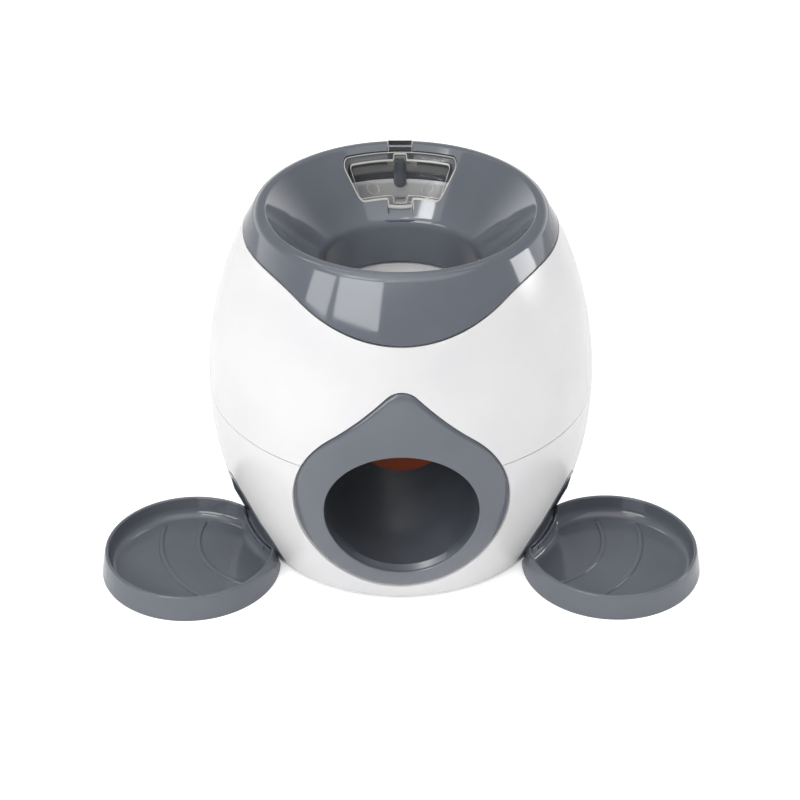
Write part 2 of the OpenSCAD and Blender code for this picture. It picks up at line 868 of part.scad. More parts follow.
// Round dish about the bowl's own centre, with a rounded rim and a rounded inside corner
module dish() {
    in_r = bowl_rim_r - bowl_wall;
    rim = bowl_wall / 2;
    corner = (bowl_h - bowl_floor_z) / 2;
    rotate_extrude()
        polygon(concat(
            [[0, bowl_base_z], [bowl_r - bowl_wall, bowl_base_z], [bowl_r - bowl_wall, 0], [bowl_r, 0]],
            arc([bowl_rim_r - rim, bowl_h - rim], rim, 0, 180),
            arc([in_r - corner, bowl_floor_z + corner], corner, 0, -90),
            [[0, bowl_floor_z]]));
}

module bowl(side) {
    color(grey)
        at_outlet(side) {
            difference() {
                union() {
                    translate([0, -bowl_reach, 0]) dish();
                    intersection() {
                        barrel_wall(bowl_cut + bowl_wall, bowl_cut - over, bowl_base_z, bowl_back_h);
                        translate([0, -bowl_reach, 0]) cylinder(r = bowl_rim_r - bowl_wall / 2, h = bowl_h);
                    }
                    intersection() {
                        for (r = bowl_ribs)
                            translate([0, rib_back - bowl_reach, 0])
                                difference() {
                                    cylinder(r = r + bowl_rib_w / 2, h = bowl_floor_z + bowl_rib_h);
                                    cylinder(r = r - bowl_rib_w / 2, h = big, center = true);
                                }
                        translate([0, -bowl_reach, bowl_base_z])
                            cylinder(r = bowl_rim_r - 3 * bowl_wall, h = bowl_h);
                    }
                }
                barrel(bowl_cut, -over, height / 2);
            }
            translate([-tongue_w / 2, -tongue_root, tongue_z])
                cube([tongue_w, tongue_root - tongue_end, tongue_t]);
        }
}

module left_bowl() bowl(-1);

module right_bowl() bowl(1);

lower_shell();
upper_shell();
funnel_collar();
exit_bezel();
left_outlet_bezel();
right_outlet_bezel();
base_plate();
front_left_foot();
front_right_foot();
back_left_foot();
back_right_foot();
ball_ramp();
ball_chute();
hopper_bin();
left_slide();
right_slide();
hopper_lid();
lid_hinge_pin();
trigger_paddle();
paddle_axle();
paddle_crank();
drive_rod();
treat_gate();
gate_shaft();
gate_crank();
left_bowl();
right_bowl();
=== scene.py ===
import json
import math

import bmesh
import bpy
import numpy as np
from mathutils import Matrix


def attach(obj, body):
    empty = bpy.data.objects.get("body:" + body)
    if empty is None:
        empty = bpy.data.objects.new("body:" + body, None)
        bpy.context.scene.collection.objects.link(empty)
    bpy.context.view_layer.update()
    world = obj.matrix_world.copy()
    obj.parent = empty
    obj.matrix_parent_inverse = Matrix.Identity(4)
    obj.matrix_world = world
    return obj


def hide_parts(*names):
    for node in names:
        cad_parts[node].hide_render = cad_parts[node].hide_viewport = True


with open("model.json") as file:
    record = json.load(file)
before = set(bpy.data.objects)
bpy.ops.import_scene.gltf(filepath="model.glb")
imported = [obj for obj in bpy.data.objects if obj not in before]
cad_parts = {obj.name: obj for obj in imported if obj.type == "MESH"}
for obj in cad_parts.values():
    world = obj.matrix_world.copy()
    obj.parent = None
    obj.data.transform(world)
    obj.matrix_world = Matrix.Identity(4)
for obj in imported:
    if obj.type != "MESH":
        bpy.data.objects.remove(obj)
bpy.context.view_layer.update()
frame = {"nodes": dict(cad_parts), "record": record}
scene = bpy.context.scene
mm = 0.001
print("frame loaded:", len(frame["nodes"]), "nodes")


# one object of the scene, named as its data
def addObject(data):
    added = bpy.data.objects.new(data.name, data)
    scene.collection.objects.link(added)
    return added


# a camera or a lamp at a turn from the front and a rise above the floor, in degrees, facing the point centre
def hangUp(data, turn, rise, reach, centre):
    turn, rise = math.radians(turn), math.radians(rise)
    away = np.array([math.sin(turn) * math.cos(rise), -math.cos(turn) * math.cos(rise), math.sin(rise)])
    hung = addObject(data)
    hung.location = np.array(centre) + reach * away
    hung.rotation_euler = (math.pi / 2 - rise, 0.0, turn)
    return hung


# camera: a long lens, looking down at the front; distance and aim in mm, near and far in metres

lens = dict(focal=100.1, sensor=36.0, distance=1072.4, turn=-0.3, tilt=33.0, aim=(-0.34, 0.0, 64.1),
            near=0.05, far=30.0)


def addCamera():
    data = bpy.data.cameras.new("camera")
    data.lens, data.sensor_width = lens["focal"], lens["sensor"]
    data.clip_start, data.clip_end = lens["near"], lens["far"]
    aim = np.array(lens["aim"]) * mm
    scene.camera = hangUp(data, lens["turn"], lens["tilt"], lens["distance"] * mm, aim)


addCamera()
print("camera set")


# materials

# sRGB hex to linear light
def toLinear(hexColour):
    srgb = np.array([int(hexColour[i:i + 2], 16) for i in (1, 3, 5)]) / 255.0
    linear = np.where(srgb <= 0.04045, srgb / 12.92, ((srgb + 0.055) / 1.055) ** 2.4)
    return (*linear.tolist(), 1.0)


# scale of a pattern whose features are some mm across
def scaleFor(sizeMm):
    return 1000.0 / sizeMm


# one node with its settings, on its sockets or as its properties, and its links
def addNode(tree, kind, settings=None, links=None):
    node = tree.nodes.new(kind)
    for key, value in (settings or {}).items():
        if key in node.inputs:
            node.inputs[key].default_value = value
        else:
            setattr(node, key, value)
    for key, socket in (links or {}).items():
        tree.links.new(socket, node.inputs[key])
    return node


def startMaterial(name):
    material = bpy.data.materials.new(name)
    material.use_nodes = True
    tree = material.node_tree
    tree.nodes.clear()
    return material, tree


noiseSpan = (0.3, 0.7)      # most of a noise lies between these


# moulded plastic: cloudy pigment, patchy gloss and a faint orange-peel skin from the tool
def mouldedPlastic(name, look):
    material, tree = startMaterial(name)
    place = addNode(tree, "ShaderNodeTexCoord").outputs["Object"]
    cloud, handled, peel = (
        addNode(tree, "ShaderNodeTexNoise", {"Scale": scaleFor(look[size]), "Detail": detail, "Roughness": rough},
                {"Vector": place}).outputs["Fac"]
        for size, detail, rough in (("cloudMm", 3.0, 0.55), ("patchMm", 4.0, 0.6), ("peelMm", 1.5, 0.5)))
    pigment = addNode(tree, "ShaderNodeValToRGB", links={"Fac": cloud})
    for stop, position, shade in zip(pigment.color_ramp.elements, noiseSpan, (look["deep"], look["light"])):
        stop.position, stop.color = position, toLinear(shade)
    low, high = look["rough"] - look["roughSpread"], look["rough"] + look["roughSpread"]
    gloss = addNode(tree, "ShaderNodeMapRange",
                    {"From Min": noiseSpan[0], "From Max": noiseSpan[1], "To Min": low, "To Max": high},
                    {"Value": handled})
    skin = addNode(tree, "ShaderNodeBump", {"Strength": look["peel"], "Distance": 0.1 * mm}, {"Height": peel})
    shader = addNode(tree, "ShaderNodeBsdfPrincipled",
                     {"IOR": 1.53, "Specular IOR Level": look["sheen"]},
                     {"Base Color": pigment.outputs["Color"], "Roughness": gloss.outputs["Result"],
                      "Normal": skin.outputs["Normal"]})
    addNode(tree, "ShaderNodeOutputMaterial", links={"Surface": shader.outputs["BSDF"]})
    return material


# gloss ABS in white: a bright, faintly warm and cool body under a polished skin
glossWhiteAbs = mouldedPlastic("gloss_white_abs", dict(
    deep="#d2d2d4", light="#d9d8d8", cloudMm=45.0, patchMm=30.0, rough=0.22, roughSpread=0.04,
    peelMm=2.2, peel=0.03, sheen=0.5))
# gloss ABS in slate grey, the collar, bezels and bowls: clear reflections of the lamps
glossSlateAbs = mouldedPlastic("gloss_slate_abs", dict(
    deep="#5c6068", light="#62666e", cloudMm=40.0, patchMm=25.0, rough=0.08, roughSpread=0.02,
    peelMm=2.0, peel=0.02, sheen=0.5))
# satin ABS inside, with a spark-eroded grain that scatters light
satinDarkAbs = mouldedPlastic("satin_dark_abs", dict(
    deep="#3f4349", light="#474b52", cloudMm=30.0, patchMm=12.0, rough=0.34, roughSpread=0.06,
    peelMm=0.9, peel=0.12, sheen=0.35))
# ABS in orange, the paddle and the gate: darkened to a deep burnt orange as painted shade, since they sit in the
# dark of the exit, with a dull shine
glossOrangeAbs = mouldedPlastic("gloss_orange_abs", dict(
    deep="#6b2a0c", light="#74300f", cloudMm=25.0, patchMm=15.0, rough=0.46, roughSpread=0.05,
    peelMm=1.6, peel=0.06, sheen=0.15))
# matt rubber of the feet: near black, with a coarse skin
footRubber = mouldedPlastic("black_rubber", dict(
    deep="#1d1e20", light="#262729", cloudMm=6.0, patchMm=3.0, rough=0.7, roughSpread=0.1,
    peelMm=0.5, peel=0.3, sheen=0.5))


# clear styrene, lightly smoked: see-through where flat; its edges and marks get a painted highlight, a near-white
# colour that hides more of what lies behind, set by a per-point attribute
def smokeStyrene(name, look):
    material, tree = startMaterial(name)
    place = addNode(tree, "ShaderNodeTexCoord").outputs["Object"]
    # painted highlight: the share of it at each point, read from the mesh's attribute
    edge = addNode(tree, "ShaderNodeAttribute", {"attribute_name": "paintedEdgeHighlight"}).outputs["Fac"]
    tint = addNode(tree, "ShaderNodeValToRGB", links={"Fac": edge})
    for stop, shade in zip(tint.color_ramp.elements, (look["flat"], look["edge"])):
        stop.color = toLinear(shade)
    cover = addNode(tree, "ShaderNodeMapRange", {"To Min": look["flatCover"], "To Max": look["edgeCover"]},
                    {"Value": edge})
    flow = addNode(tree, "ShaderNodeTexNoise", {"Scale": scaleFor(look["flowMm"]), "Detail": 2.0},
                   {"Vector": place})
    gloss = addNode(tree, "ShaderNodeMapRange", {"To Min": look["roughLow"], "To Max": look["roughHigh"]},
                    {"Value": flow.outputs["Fac"]})
    ripple = addNode(tree, "ShaderNodeBump", {"Strength": look["ripple"], "Distance": 0.2 * mm},
                     {"Height": flow.outputs["Fac"]})
    shader = addNode(tree, "ShaderNodeBsdfPrincipled", {"IOR": 1.58},
                     {"Base Color": tint.outputs["Color"], "Alpha": cover.outputs["Result"],
                      "Roughness": gloss.outputs["Result"], "Normal": ripple.outputs["Normal"]})
    addNode(tree, "ShaderNodeOutputMaterial", links={"Surface": shader.outputs["BSDF"]})
    return material


# flat smoke tint, and the near-white edge colour with its cover, which are the painted highlight
smokeClear = smokeStyrene("smoke_clear_styrene", dict(
    flat="#4c4e52", edge="#eceae2", flatCover=0.1, edgeCover=0.82, flowMm=9.0, roughLow=0.03, roughHigh=0.07,
    ripple=0.012))


# drawn steel: fine lines along the bar, drawn at 0.5 mm so that they show
def drawnSteel(name, look):
    material, tree = startMaterial(name)
    place = addNode(tree, "ShaderNodeTexCoord").outputs["Object"]
    along, across = scaleFor(look["alongMm"]), scaleFor(look["acrossMm"])
    stretch = addNode(tree, "ShaderNodeMapping", {"Scale": (along, across, across)}, {"Vector": place})
    lines = addNode(tree, "ShaderNodeTexNoise", {"Scale": 1.0, "Detail": 3.0},
                    {"Vector": stretch.outputs["Vector"]})
    rough = addNode(tree, "ShaderNodeMapRange", {"To Min": look["roughLow"], "To Max": look["roughHigh"]},
                    {"Value": lines.outputs["Fac"]})
    scratch = addNode(tree, "ShaderNodeBump", {"Strength": look["scratch"], "Distance": 0.05 * mm},
                      {"Height": lines.outputs["Fac"]})
    shader = addNode(tree, "ShaderNodeBsdfPrincipled",
                     {"Base Color": toLinear(look["colour"]), "Metallic": 1.0},
                     {"Roughness": rough.outputs["Result"], "Normal": scratch.outputs["Normal"]})
    addNode(tree, "ShaderNodeOutputMaterial", links={"Surface": shader.outputs["BSDF"]})
    return material


pinSteel = drawnSteel("drawn_steel", dict(
    colour="#8c8e91", alongMm=25.0, acrossMm=0.5, roughLow=0.2, roughHigh=0.42, scratch=0.15))
slotFinish = dict(white_abs=glossWhiteAbs, grey_abs=glossSlateAbs, dark_abs=satinDarkAbs,
                  orange_abs=glossOrangeAbs, smoke_clear=smokeClear, pin_steel=pinSteel,
                  foot_rubber=footRubber)
for part in frame["record"]["subparts"]:
    mesh = frame["nodes"][part["node"]].data
    mesh.materials.clear()
    mesh.materials.append(slotFinish[part["material_slot"]])
print("materials set")


# shapes shared by the pieces, in millimetres

barrel = dict(radius=91.2, side=180.0, waist=80.0, low=2.0, seamGap=0.3, wall=2.4, edge=0.35)


# radius of the barrel at a height: an arc of radius side whose widest point is at the waist
def barrelRadius(z, off=0.0):
    return barrel["radius"] - barrel["side"] + np.sqrt((barrel["side"] + off) ** 2 - (z - barrel["waist"]) ** 2)


# the barrel's point at a turn from the front, in radians, and a height
def onBarrel(turn, z):
    radius = barrelRadius(z)
    return np.stack([radius * np.sin(turn), -radius * np.cos(turn), z + 0.0 * turn], -1)


# the barrel's point straight behind a point x, z of the front view
def behindFront(flat, off):
    x, z = flat[..., 0], flat[..., 1]
    return np.stack([x, -np.sqrt(barrelRadius(z, off) ** 2 - x ** 2), z], -1)


# points on an arc from a start to an end, in degrees
def arcPoints(centre, radius, start, end, count):
    turn = np.radians(np.linspace(start, end, count))
    return np.stack([centre[0] + radius * np.cos(turn), centre[1] + radius * np.sin(turn)], -1)


# a quarter round as pairs of shares of its radius: the first goes from 0 to 1, the second from 1 to 0
def quarterRound(count):
    turn = np.radians(np.linspace(0.0, 90.0, count))
    return list(zip(1.0 - np.cos(turn), 1.0 - np.sin(turn)))


# half an outline that starts and ends on the middle line, closed by its mirror image
def closeLoop(half):
    return np.concatenate([half, (half * [-1.0, 1.0])[-2:0:-1]])


# points at equal steps along a line of points
def respace(line, count):
    run = np.concatenate([[0.0], np.cumsum(np.hypot(*np.diff(line, axis=0).T))])
    step = np.linspace(0.0, run[-1], count)
    return np.stack([np.interp(step, run, line[:, 0]), np.interp(step, run, line[:, 1])], -1)


# a loop moved outwards by its own normals
def growLoop(loop, off):
    along = np.roll(loop, -1, 0) - np.roll(loop, 1, 0)
    normal = np.stack([along[:, 1], -along[:, 0]], -1) / np.hypot(*along.T)[:, None]
    area = np.sum(loop[:, 0] * np.roll(loop[:, 1], -1) - np.roll(loop[:, 0], -1) * loop[:, 1])
    return loop + off * np.sign(area) * normal


# from 0 to 1 with level ends: three squares less two cubes
def smoothStep(value):
    part = np.clip(value, 0.0, 1.0)
    return part * part * (3.0 - 2.0 * part)


# loops in between a first and a last one, at shares of the way
def blend(first, last, shares):
    shares = np.asarray(shares)[:, None, None]
    return first[None] * (1.0 - shares) + last[None] * shares


# matrix that turns rows of points about the upright axis, in degrees from the front to the right
def spinBy(degrees):
    c, s = math.cos(math.radians(degrees)), math.sin(math.radians(degrees))
    return np.array([[c, s, 0.0], [-s, c, 0.0], [0.0, 0.0, 1.0]])


# strip of an upright tube at the back: its radius, half its spread in degrees, and its heights
def tubeStrip(radius, half, low, top, rows):
    turn = np.radians(np.linspace(-half, half, 40))
    z = np.linspace(low, top, rows)[:, None]
    return np.stack([radius * np.sin(turn) + 0 * z, radius * np.cos(turn) + 0 * z, z + 0 * turn], -1)


# quads of a grid of points, which may close on itself along its rows or its columns
def gridFaces(rows, cols, closeRows, closeCols):
    i = np.arange(rows if closeRows else rows - 1)[:, None]
    j = np.arange(cols if closeCols else cols - 1)
    nextRow, nextCol = (i + 1) % rows, (j + 1) % cols
    return np.stack([i * cols + j, i * cols + nextCol, nextRow * cols + nextCol, nextRow * cols + j], -1)


# how every mesh is cleaned and finished: distances in metres, angles in degrees
finish = dict(merge=3e-6, thin=1e-7, sharp=40.0, bevelFrom=50.0, bevelSteps=3)


# one object from grids of points, whose rows are loops unless closed says otherwise; wall and edge by modifiers
def addPiece(name, patches, slot, body, replaced, wall=0.0, edge=0.0):
    points, faces, glow, start = [], [], [], 0
    for patch in patches:
        grid = np.asarray(patch["grid"], float)
        rows, cols = grid.shape[:2]
        quads = gridFaces(rows, cols, *patch.get("closed", (False, True)))
        if "keep" in patch:
            quads = quads[patch["keep"]]
        faces.append(quads.reshape(-1, 4) + start)
        points.append(grid.reshape(-1, 3))
        # a patch's glow, given per row, is how much painted highlight its points get, stored as a point attribute
        # for the clear lid's material
        rowGlow = np.asarray(patch.get("glow", 0.0), float).reshape(-1, 1)
        glow.append(np.broadcast_to(rowGlow, (rows, cols)).ravel())
        start += rows * cols
    mesh = bpy.data.meshes.new(name)
    mesh.from_pydata((np.concatenate(points) * mm).tolist(), [], np.concatenate(faces).tolist())
    if any("glow" in patch for patch in patches):
        mesh.attributes.new("paintedEdgeHighlight", "FLOAT", "POINT").data.foreach_set("value", np.concatenate(glow))
    work = bmesh.new()
    work.from_mesh(mesh)
    bmesh.ops.remove_doubles(work, verts=work.verts, dist=finish["merge"])
    bmesh.ops.dissolve_degenerate(work, edges=work.edges, dist=finish["thin"])
    bmesh.ops.delete(work, geom=[v for v in work.verts if not v.link_faces], context="VERTS")
    bmesh.ops.recalc_face_normals(work, faces=work.faces)
    work.to_mesh(mesh)
    work.free()
    mesh.shade_smooth()
    mesh.set_sharp_from_angle(angle=math.radians(finish["sharp"]))
    mesh.materials.append(slotFinish[slot])
    piece = addObject(mesh)
    if wall:
        solid = piece.modifiers.new("wall", "SOLIDIFY")
        solid.thickness, solid.offset, solid.use_even_offset = wall * mm, -1.0, True
    if edge:
        bevel = piece.modifiers.new("edge", "BEVEL")
        bevel.width, bevel.segments, bevel.harden_normals = edge * mm, finish["bevelSteps"], True
        bevel.limit_method, bevel.angle_limit = "ANGLE", math.radians(finish["bevelFrom"])
    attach(piece, body)
    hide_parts(*replaced)


# exit bezel: a rounded frame swept along the outline from its outer wall into the hole, and a dark sleeve

bezel = dict(round=49.3, roundZ=59.9, flank=400.0, tip=9.3, tipZ=113.8, hole=35.2, holeZ=56.9, sunk=0.26, gap=0.15,
             edge=2.0, holeEdge=0.8, deep=4.0, lip=1.4, flare=1.2)
sleeve = dict(fit=0.05, clear=0.1, thick=0.9, deep=6.5, topDeep=2.2, lift=2.75, knee=0.9)


# right half of the outline from the bottom to the tip: round part, hollow flank, tip, moved out by d
def bezelHalf(d, start=-90.0):
    low, high = bezel["round"] + bezel["flank"], bezel["tip"] + bezel["flank"]
    rise = bezel["tipZ"] - bezel["roundZ"]
    up = (low ** 2 - high ** 2 + rise ** 2) / (2.0 * rise)
    side = math.sqrt(low ** 2 - up ** 2)
    lowTurn, highTurn = math.degrees(math.atan2(up, side)), math.degrees(math.atan2(up - rise, side))
    return np.concatenate([
        arcPoints((0.0, bezel["roundZ"]), bezel["round"] + d, start, lowTurn, 90),
        arcPoints((side, bezel["roundZ"] + up), bezel["flank"] - d, 180 + lowTurn, 180 + highTurn, 30)[1:],
        arcPoints((0.0, bezel["tipZ"]), bezel["tip"] + d, highTurn, 90.0, 16)[1:]])


def makeExitBezel():
    b, s = bezel, sleeve

    def row(flat, depth):
        return behindFront(flat, -b["sunk"] - depth)

    rows = [row(closeLoop(bezelHalf(-b["gap"])), b["deep"])]
    for inset, depth in quarterRound(8):     # outer edge
        rows.append(row(closeLoop(bezelHalf(-b["gap"] - b["edge"] * inset)), b["edge"] * depth))
    brow = closeLoop(bezelHalf(-b["gap"] - b["edge"]))
    turn = np.arctan2(brow[:, 1] - b["holeZ"], brow[:, 0])
    ray = np.stack([np.cos(turn), np.sin(turn)], -1)
    middle = np.array([0.0, b["holeZ"]])
    face = blend(brow, middle + ray * (b["hole"] + b["holeEdge"]), np.linspace(0.0, 1.0, 12)[1:])
    rows += list(row(face, 0.0))
    for depth, inset in quarterRound(7)[1:]:     # edge of the hole
        rows.append(row(middle + ray * (b["hole"] + b["holeEdge"] * inset), b["holeEdge"] * depth))
    rows.append(row(middle + ray * b["hole"], b["lip"]))
    rows.append(row(middle + ray * (b["hole"] + b["flare"]), b["deep"]))
    addPiece("exit_frame", [dict(grid=np.stack(rows), closed=(True, True))], "grey_abs", "housing", ["exit_bezel"])

    # sleeve: short and level at the top, where the paddle swings out, deep and lifted to the ramp below
    share = 1.0 - smoothStep(2.0 * ray[:, 1])
    reach = s["topDeep"] + (s["deep"] - s["topDeep"]) * share
    bend = (b["lip"] + reach) / 2
    lift = np.stack([np.zeros_like(share), s["lift"] * share], -1)
    steps = ((s["fit"], b["lip"], 0.0), (s["clear"], bend, s["knee"] * lift), (s["clear"], reach, lift),
             (s["thick"], reach, lift), (s["thick"], b["lip"], 0.0))
    tube = [row(middle + up + ray * (b["hole"] + out), depth) for out, depth, up in steps]
    addPiece("exit_sleeve", [dict(grid=np.stack(tube), closed=(True, True))], "dark_abs", "housing", ["exit_bezel"])


makeExitBezel()
print("exit bezel made")


# collar's lower edge in the front view: a round dip, a blend and a level part; d lowers it

collarLine = dict(dip=94.0, dipZ=237.2, blend=40.0, blendX=64.96, blendZ=120.0, turn=61.0, firstZ=150.0, rounds=30)


def collarEdge(x, d):
    c, x = collarLine, np.abs(x)
    dip = c["dipZ"] - np.sqrt(np.maximum((c["dip"] + d) ** 2 - x ** 2, 0.0))
    over = (c["blend"] - d) ** 2 - np.maximum(c["blendX"] - x, 0.0) ** 2
    swell = c["blendZ"] + np.sqrt(np.maximum(over, 0.0))
    return np.where(x < (c["dip"] + d) * math.cos(math.radians(c["turn"])), dip, swell)


# height at which the barrel meets the collar's edge at each turn, found by repeated substitution
def edgeHeight(turn, d, off):
    z = np.full_like(turn, collarLine["firstZ"])
    for _ in range(collarLine["rounds"]):
        z = collarEdge(barrelRadius(z, off) * np.sin(turn), d)
    return z


# both shells: sheets on the barrel, cut to the bezels' outlines, with a wall and rounded rims; the steps count the
# points along each side of a cut, and of the frame around it

shell = dict(gap=0.4, frontTurn=35.0, cornerTurn=228.0, outletTurn=65.0, outletReach=30.0,
             sideSteps=34, frontSteps=50, sillSteps=30, archSteps=18)
outlet = dict(half=22.8, roundZ=14.0, sill=5.0, tip=8.0, tipZ=38.5, frame=3.2, holeSill=9.0, proud=0.1, gap=0.15,
              edge=0.7, deep=3.6)


# right half of an outlet's outline in its own front view: straight sill, flank and pointed arch, moved out by d
def outletHalf(d, sill):
    o = outlet
    lean = math.degrees(math.asin((o["half"] - o["tip"]) / (o["tipZ"] - o["roundZ"])))
    bottom = np.linspace((0.0, sill), (o["half"] + d, sill), 16)
    flank = np.concatenate([[[o["half"] + d, sill]],
                            arcPoints((0.0, o["roundZ"]), o["half"] + d, 0.0, lean, 16)])
    arch = arcPoints((0.0, o["tipZ"]), o["tip"] + d, lean, 90.0, shell["archSteps"])
    return bottom, respace(flank, shell["sideSteps"]), arch


# upper shell: columns at turns all round, straight from the notch over the bezel or the seam up to the collar
def makeUpperShell():
    low = barrel["waist"] + barrel["seamGap"]
    corner = math.degrees(math.asin((low - bezel["roundZ"]) / (bezel["round"] + shell["gap"])))
    notch = bezelHalf(shell["gap"], corner)[::-1]
    notchTurn = np.arcsin(notch[:, 0] / barrelRadius(notch[:, 1]))
    rest = np.linspace(notchTurn[-1], math.pi, 110)[1:]
    turn = np.concatenate([notchTurn, rest])
    foot = np.concatenate([notch[:, 1], np.full(len(rest), low)])
    turn = np.concatenate([turn, -turn[-2:0:-1]])
    foot = np.concatenate([foot, foot[-2:0:-1]])
    top = edgeHeight(turn, shell["gap"], 0.0)
    share = np.linspace(0.0, 1.0, 26)[:, None]
    grid = onBarrel(turn, foot + (top - foot) * share)
    addPiece("upper_shell_skin", [dict(grid=grid)], "white_abs", "housing", ["upper_shell"],
             wall=barrel["wall"], edge=barrel["edge"])


# lower shell: three patches that blend from the edge of a cut to a frame of turns and heights, and a plain back
def makeLowerShell():
    s, low, top = shell, barrel["low"], barrel["waist"]
    levels = np.linspace(low, top, s["sideSteps"])
    share = np.linspace(0.0, 1.0, 12)

    def patch(hole, border, loop):
        flat = blend(hole, border, share)
        return dict(grid=onBarrel(np.radians(flat[..., 0]), flat[..., 1]), closed=(False, loop))

    def upright(turn, heights):
        return np.stack([np.full(len(heights), turn), heights], -1)

    def level(start, end, z, count):
        return np.linspace((start, z), (end, z), count)[1:-1]

    # front: from the round part of the bezel
    reach, radius = s["frontTurn"], bezel["round"] + s["gap"]
    border = np.concatenate([upright(-reach, levels[::-1]), level(-reach, reach, low, s["frontSteps"]),
                             upright(reach, levels)])
    rim, corner = math.degrees(math.asin((top - bezel["roundZ"]) / radius)), s["cornerTurn"]
    angle = np.radians(np.concatenate([np.linspace(180 - rim, corner, s["sideSteps"]),
                                       np.linspace(corner, 540 - corner, s["frontSteps"])[1:-1],
                                       np.linspace(540 - corner, 360 + rim, s["sideSteps"])]))
    x, z = radius * np.cos(angle), bezel["roundZ"] + radius * np.sin(angle)
    patches = [patch(np.stack([np.degrees(np.arcsin(x / barrelRadius(z))), z], -1), border, False)]

    # outlets: from the pointed arch
    _, flank, arch = outletHalf(s["gap"], outlet["sill"] - s["gap"])
    mirror = np.array([-1.0, 1.0])
    hole = np.concatenate([flank * mirror, arch[1:] * mirror, arch[-2:0:-1], flank[::-1],
                           np.linspace(flank[0], flank[0] * mirror, s["sillSteps"])[1:-1]])
    left, right = s["outletTurn"] - s["outletReach"], s["outletTurn"] + s["outletReach"]
    border = np.concatenate([upright(left, levels), level(left, right, top, 2 * s["archSteps"] - 1),
                             upright(right, levels[::-1]), level(right, left, low, s["sillSteps"])])
    holeTurn = s["outletTurn"] + np.degrees(np.arcsin(hole[:, 0] / barrelRadius(hole[:, 1])))
    for side in (-1.0, 1.0):
        patches.append(patch(np.stack([side * holeTurn, hole[:, 1]], -1), border * [side, 1.0], True))

    turn = np.radians(np.linspace(right, 360.0 - right, 90))
    patches.append(dict(grid=onBarrel(turn, levels[:, None]), closed=(False, False)))
    addPiece("lower_shell_skin", patches, "white_abs", "housing", ["lower_shell"],
             wall=barrel["wall"], edge=barrel["edge"])


# outlet frame: a flush rounded frame swept along the arch
def makeOutletFrame(name, side, node):
    o = outlet

    def row(d, depth, sill):
        bottom, flank, arch = outletHalf(d, sill)
        return behindFront(closeLoop(np.concatenate([bottom, flank[1:], arch[1:]])), o["proud"] - depth)

    rows = [row(-o["gap"], o["deep"], o["sill"])]
    for inset, depth in quarterRound(5):     # outer edge
        rows.append(row(-o["gap"] - o["edge"] * inset, o["edge"] * depth, o["sill"] + o["edge"] * inset))
    for depth, inset in quarterRound(5):     # edge of the hole
        rows.append(row(-o["frame"] + o["edge"] * inset, o["edge"] * depth, o["holeSill"] - o["edge"] * inset))
    rows.append(row(-o["frame"], o["deep"], o["holeSill"]))
    grid = np.stack(rows) @ spinBy(side * shell["outletTurn"])
    addPiece(name, [dict(grid=grid, closed=(True, True))], "grey_abs", "housing", [node])


makeUpperShell()
makeLowerShell()
makeOutletFrame("left_outlet_frame", -1.0, "left_outlet_bezel")
makeOutletFrame("right_outlet_frame", 1.0, "right_outlet_bezel")
print("shells made")


# funnel collar: skirt on the barrel, rolled rim with a flat land, crisp inner edge, cone, neck

funnel = dict(slope=49.8, coneR=60.43, coneZ=168.69, top=170.44, roll=4.0, innerEdge=0.8, sunk=0.2, gap=0.3,
              wall=2.8, neck=37.0, neckRound=8.0, neckRoundZ=138.04, neckLow=120.04, edge=0.25, seatGap=0.12,
              seatDepth=1.5, bendEnd=15.0, spread=1.25, slotHalf=6.05, slotLow=166.2, slotRows=9, fingerR=39.02,
              scoopHalf=6.1, scoopR=39.6, scoopRound=1.6, scoopDepth=1.75, scoopSoft=0.7)
# columns of the collar's sheet beside the hinge's slot, as shares of its half width, closest at its corner
slotColumns = np.array([0, 0.2, 0.4, 0.55, 0.68, 0.78, 0.85, 0.9, 0.95, 1.0, 1.05, 1.12, 1.2])
lid = dict(inner=44.524, outer=59.624, halfIn=24.7, halfOut=29.2, corner=3.5, flange=1.4, rimBack=0.05, tabHalf=5.9,
           tabY=42.0, tabEase=0.6, panInner=46.0, panOuter=56.6, panHalfIn=24.1, panHalfOut=24.9, panCorner=1.3,
           panDepth=3.4, panWall=1.2, channelHalf=2.8, channelY=58.6, lowChannelHalf=2.9, lowChannelY=43.5,
           lowChannelEase=(0.9, 1.3), channelDepth=0.8, channelRise=0.6, play=0.35, edge=0.45, middleY=51.5,
           markX=13.0, markY=49.6, markR=2.8, markLine=0.12, slotHalf=2.3, slotNear=45.2, slotFar=45.85,
           slotDepth=0.7, slotThick=0.3, leastCorner=0.4, runSteps=(60, 14, 14, 14, 80))
slope = math.radians(funnel["slope"])


# height of the funnel's cone at a radius, or of a layer some depth below it
def coneHeight(radius, depth=0.0):
    return funnel["coneZ"] - (funnel["coneR"] - radius) * math.tan(slope) - depth / math.cos(slope)


# points x, y of the plan put on the cone, or some depth below it
def onCone(flat, depth):
    return np.concatenate([flat, coneHeight(np.hypot(flat[..., 0], flat[..., 1]), depth)[..., None]], -1)


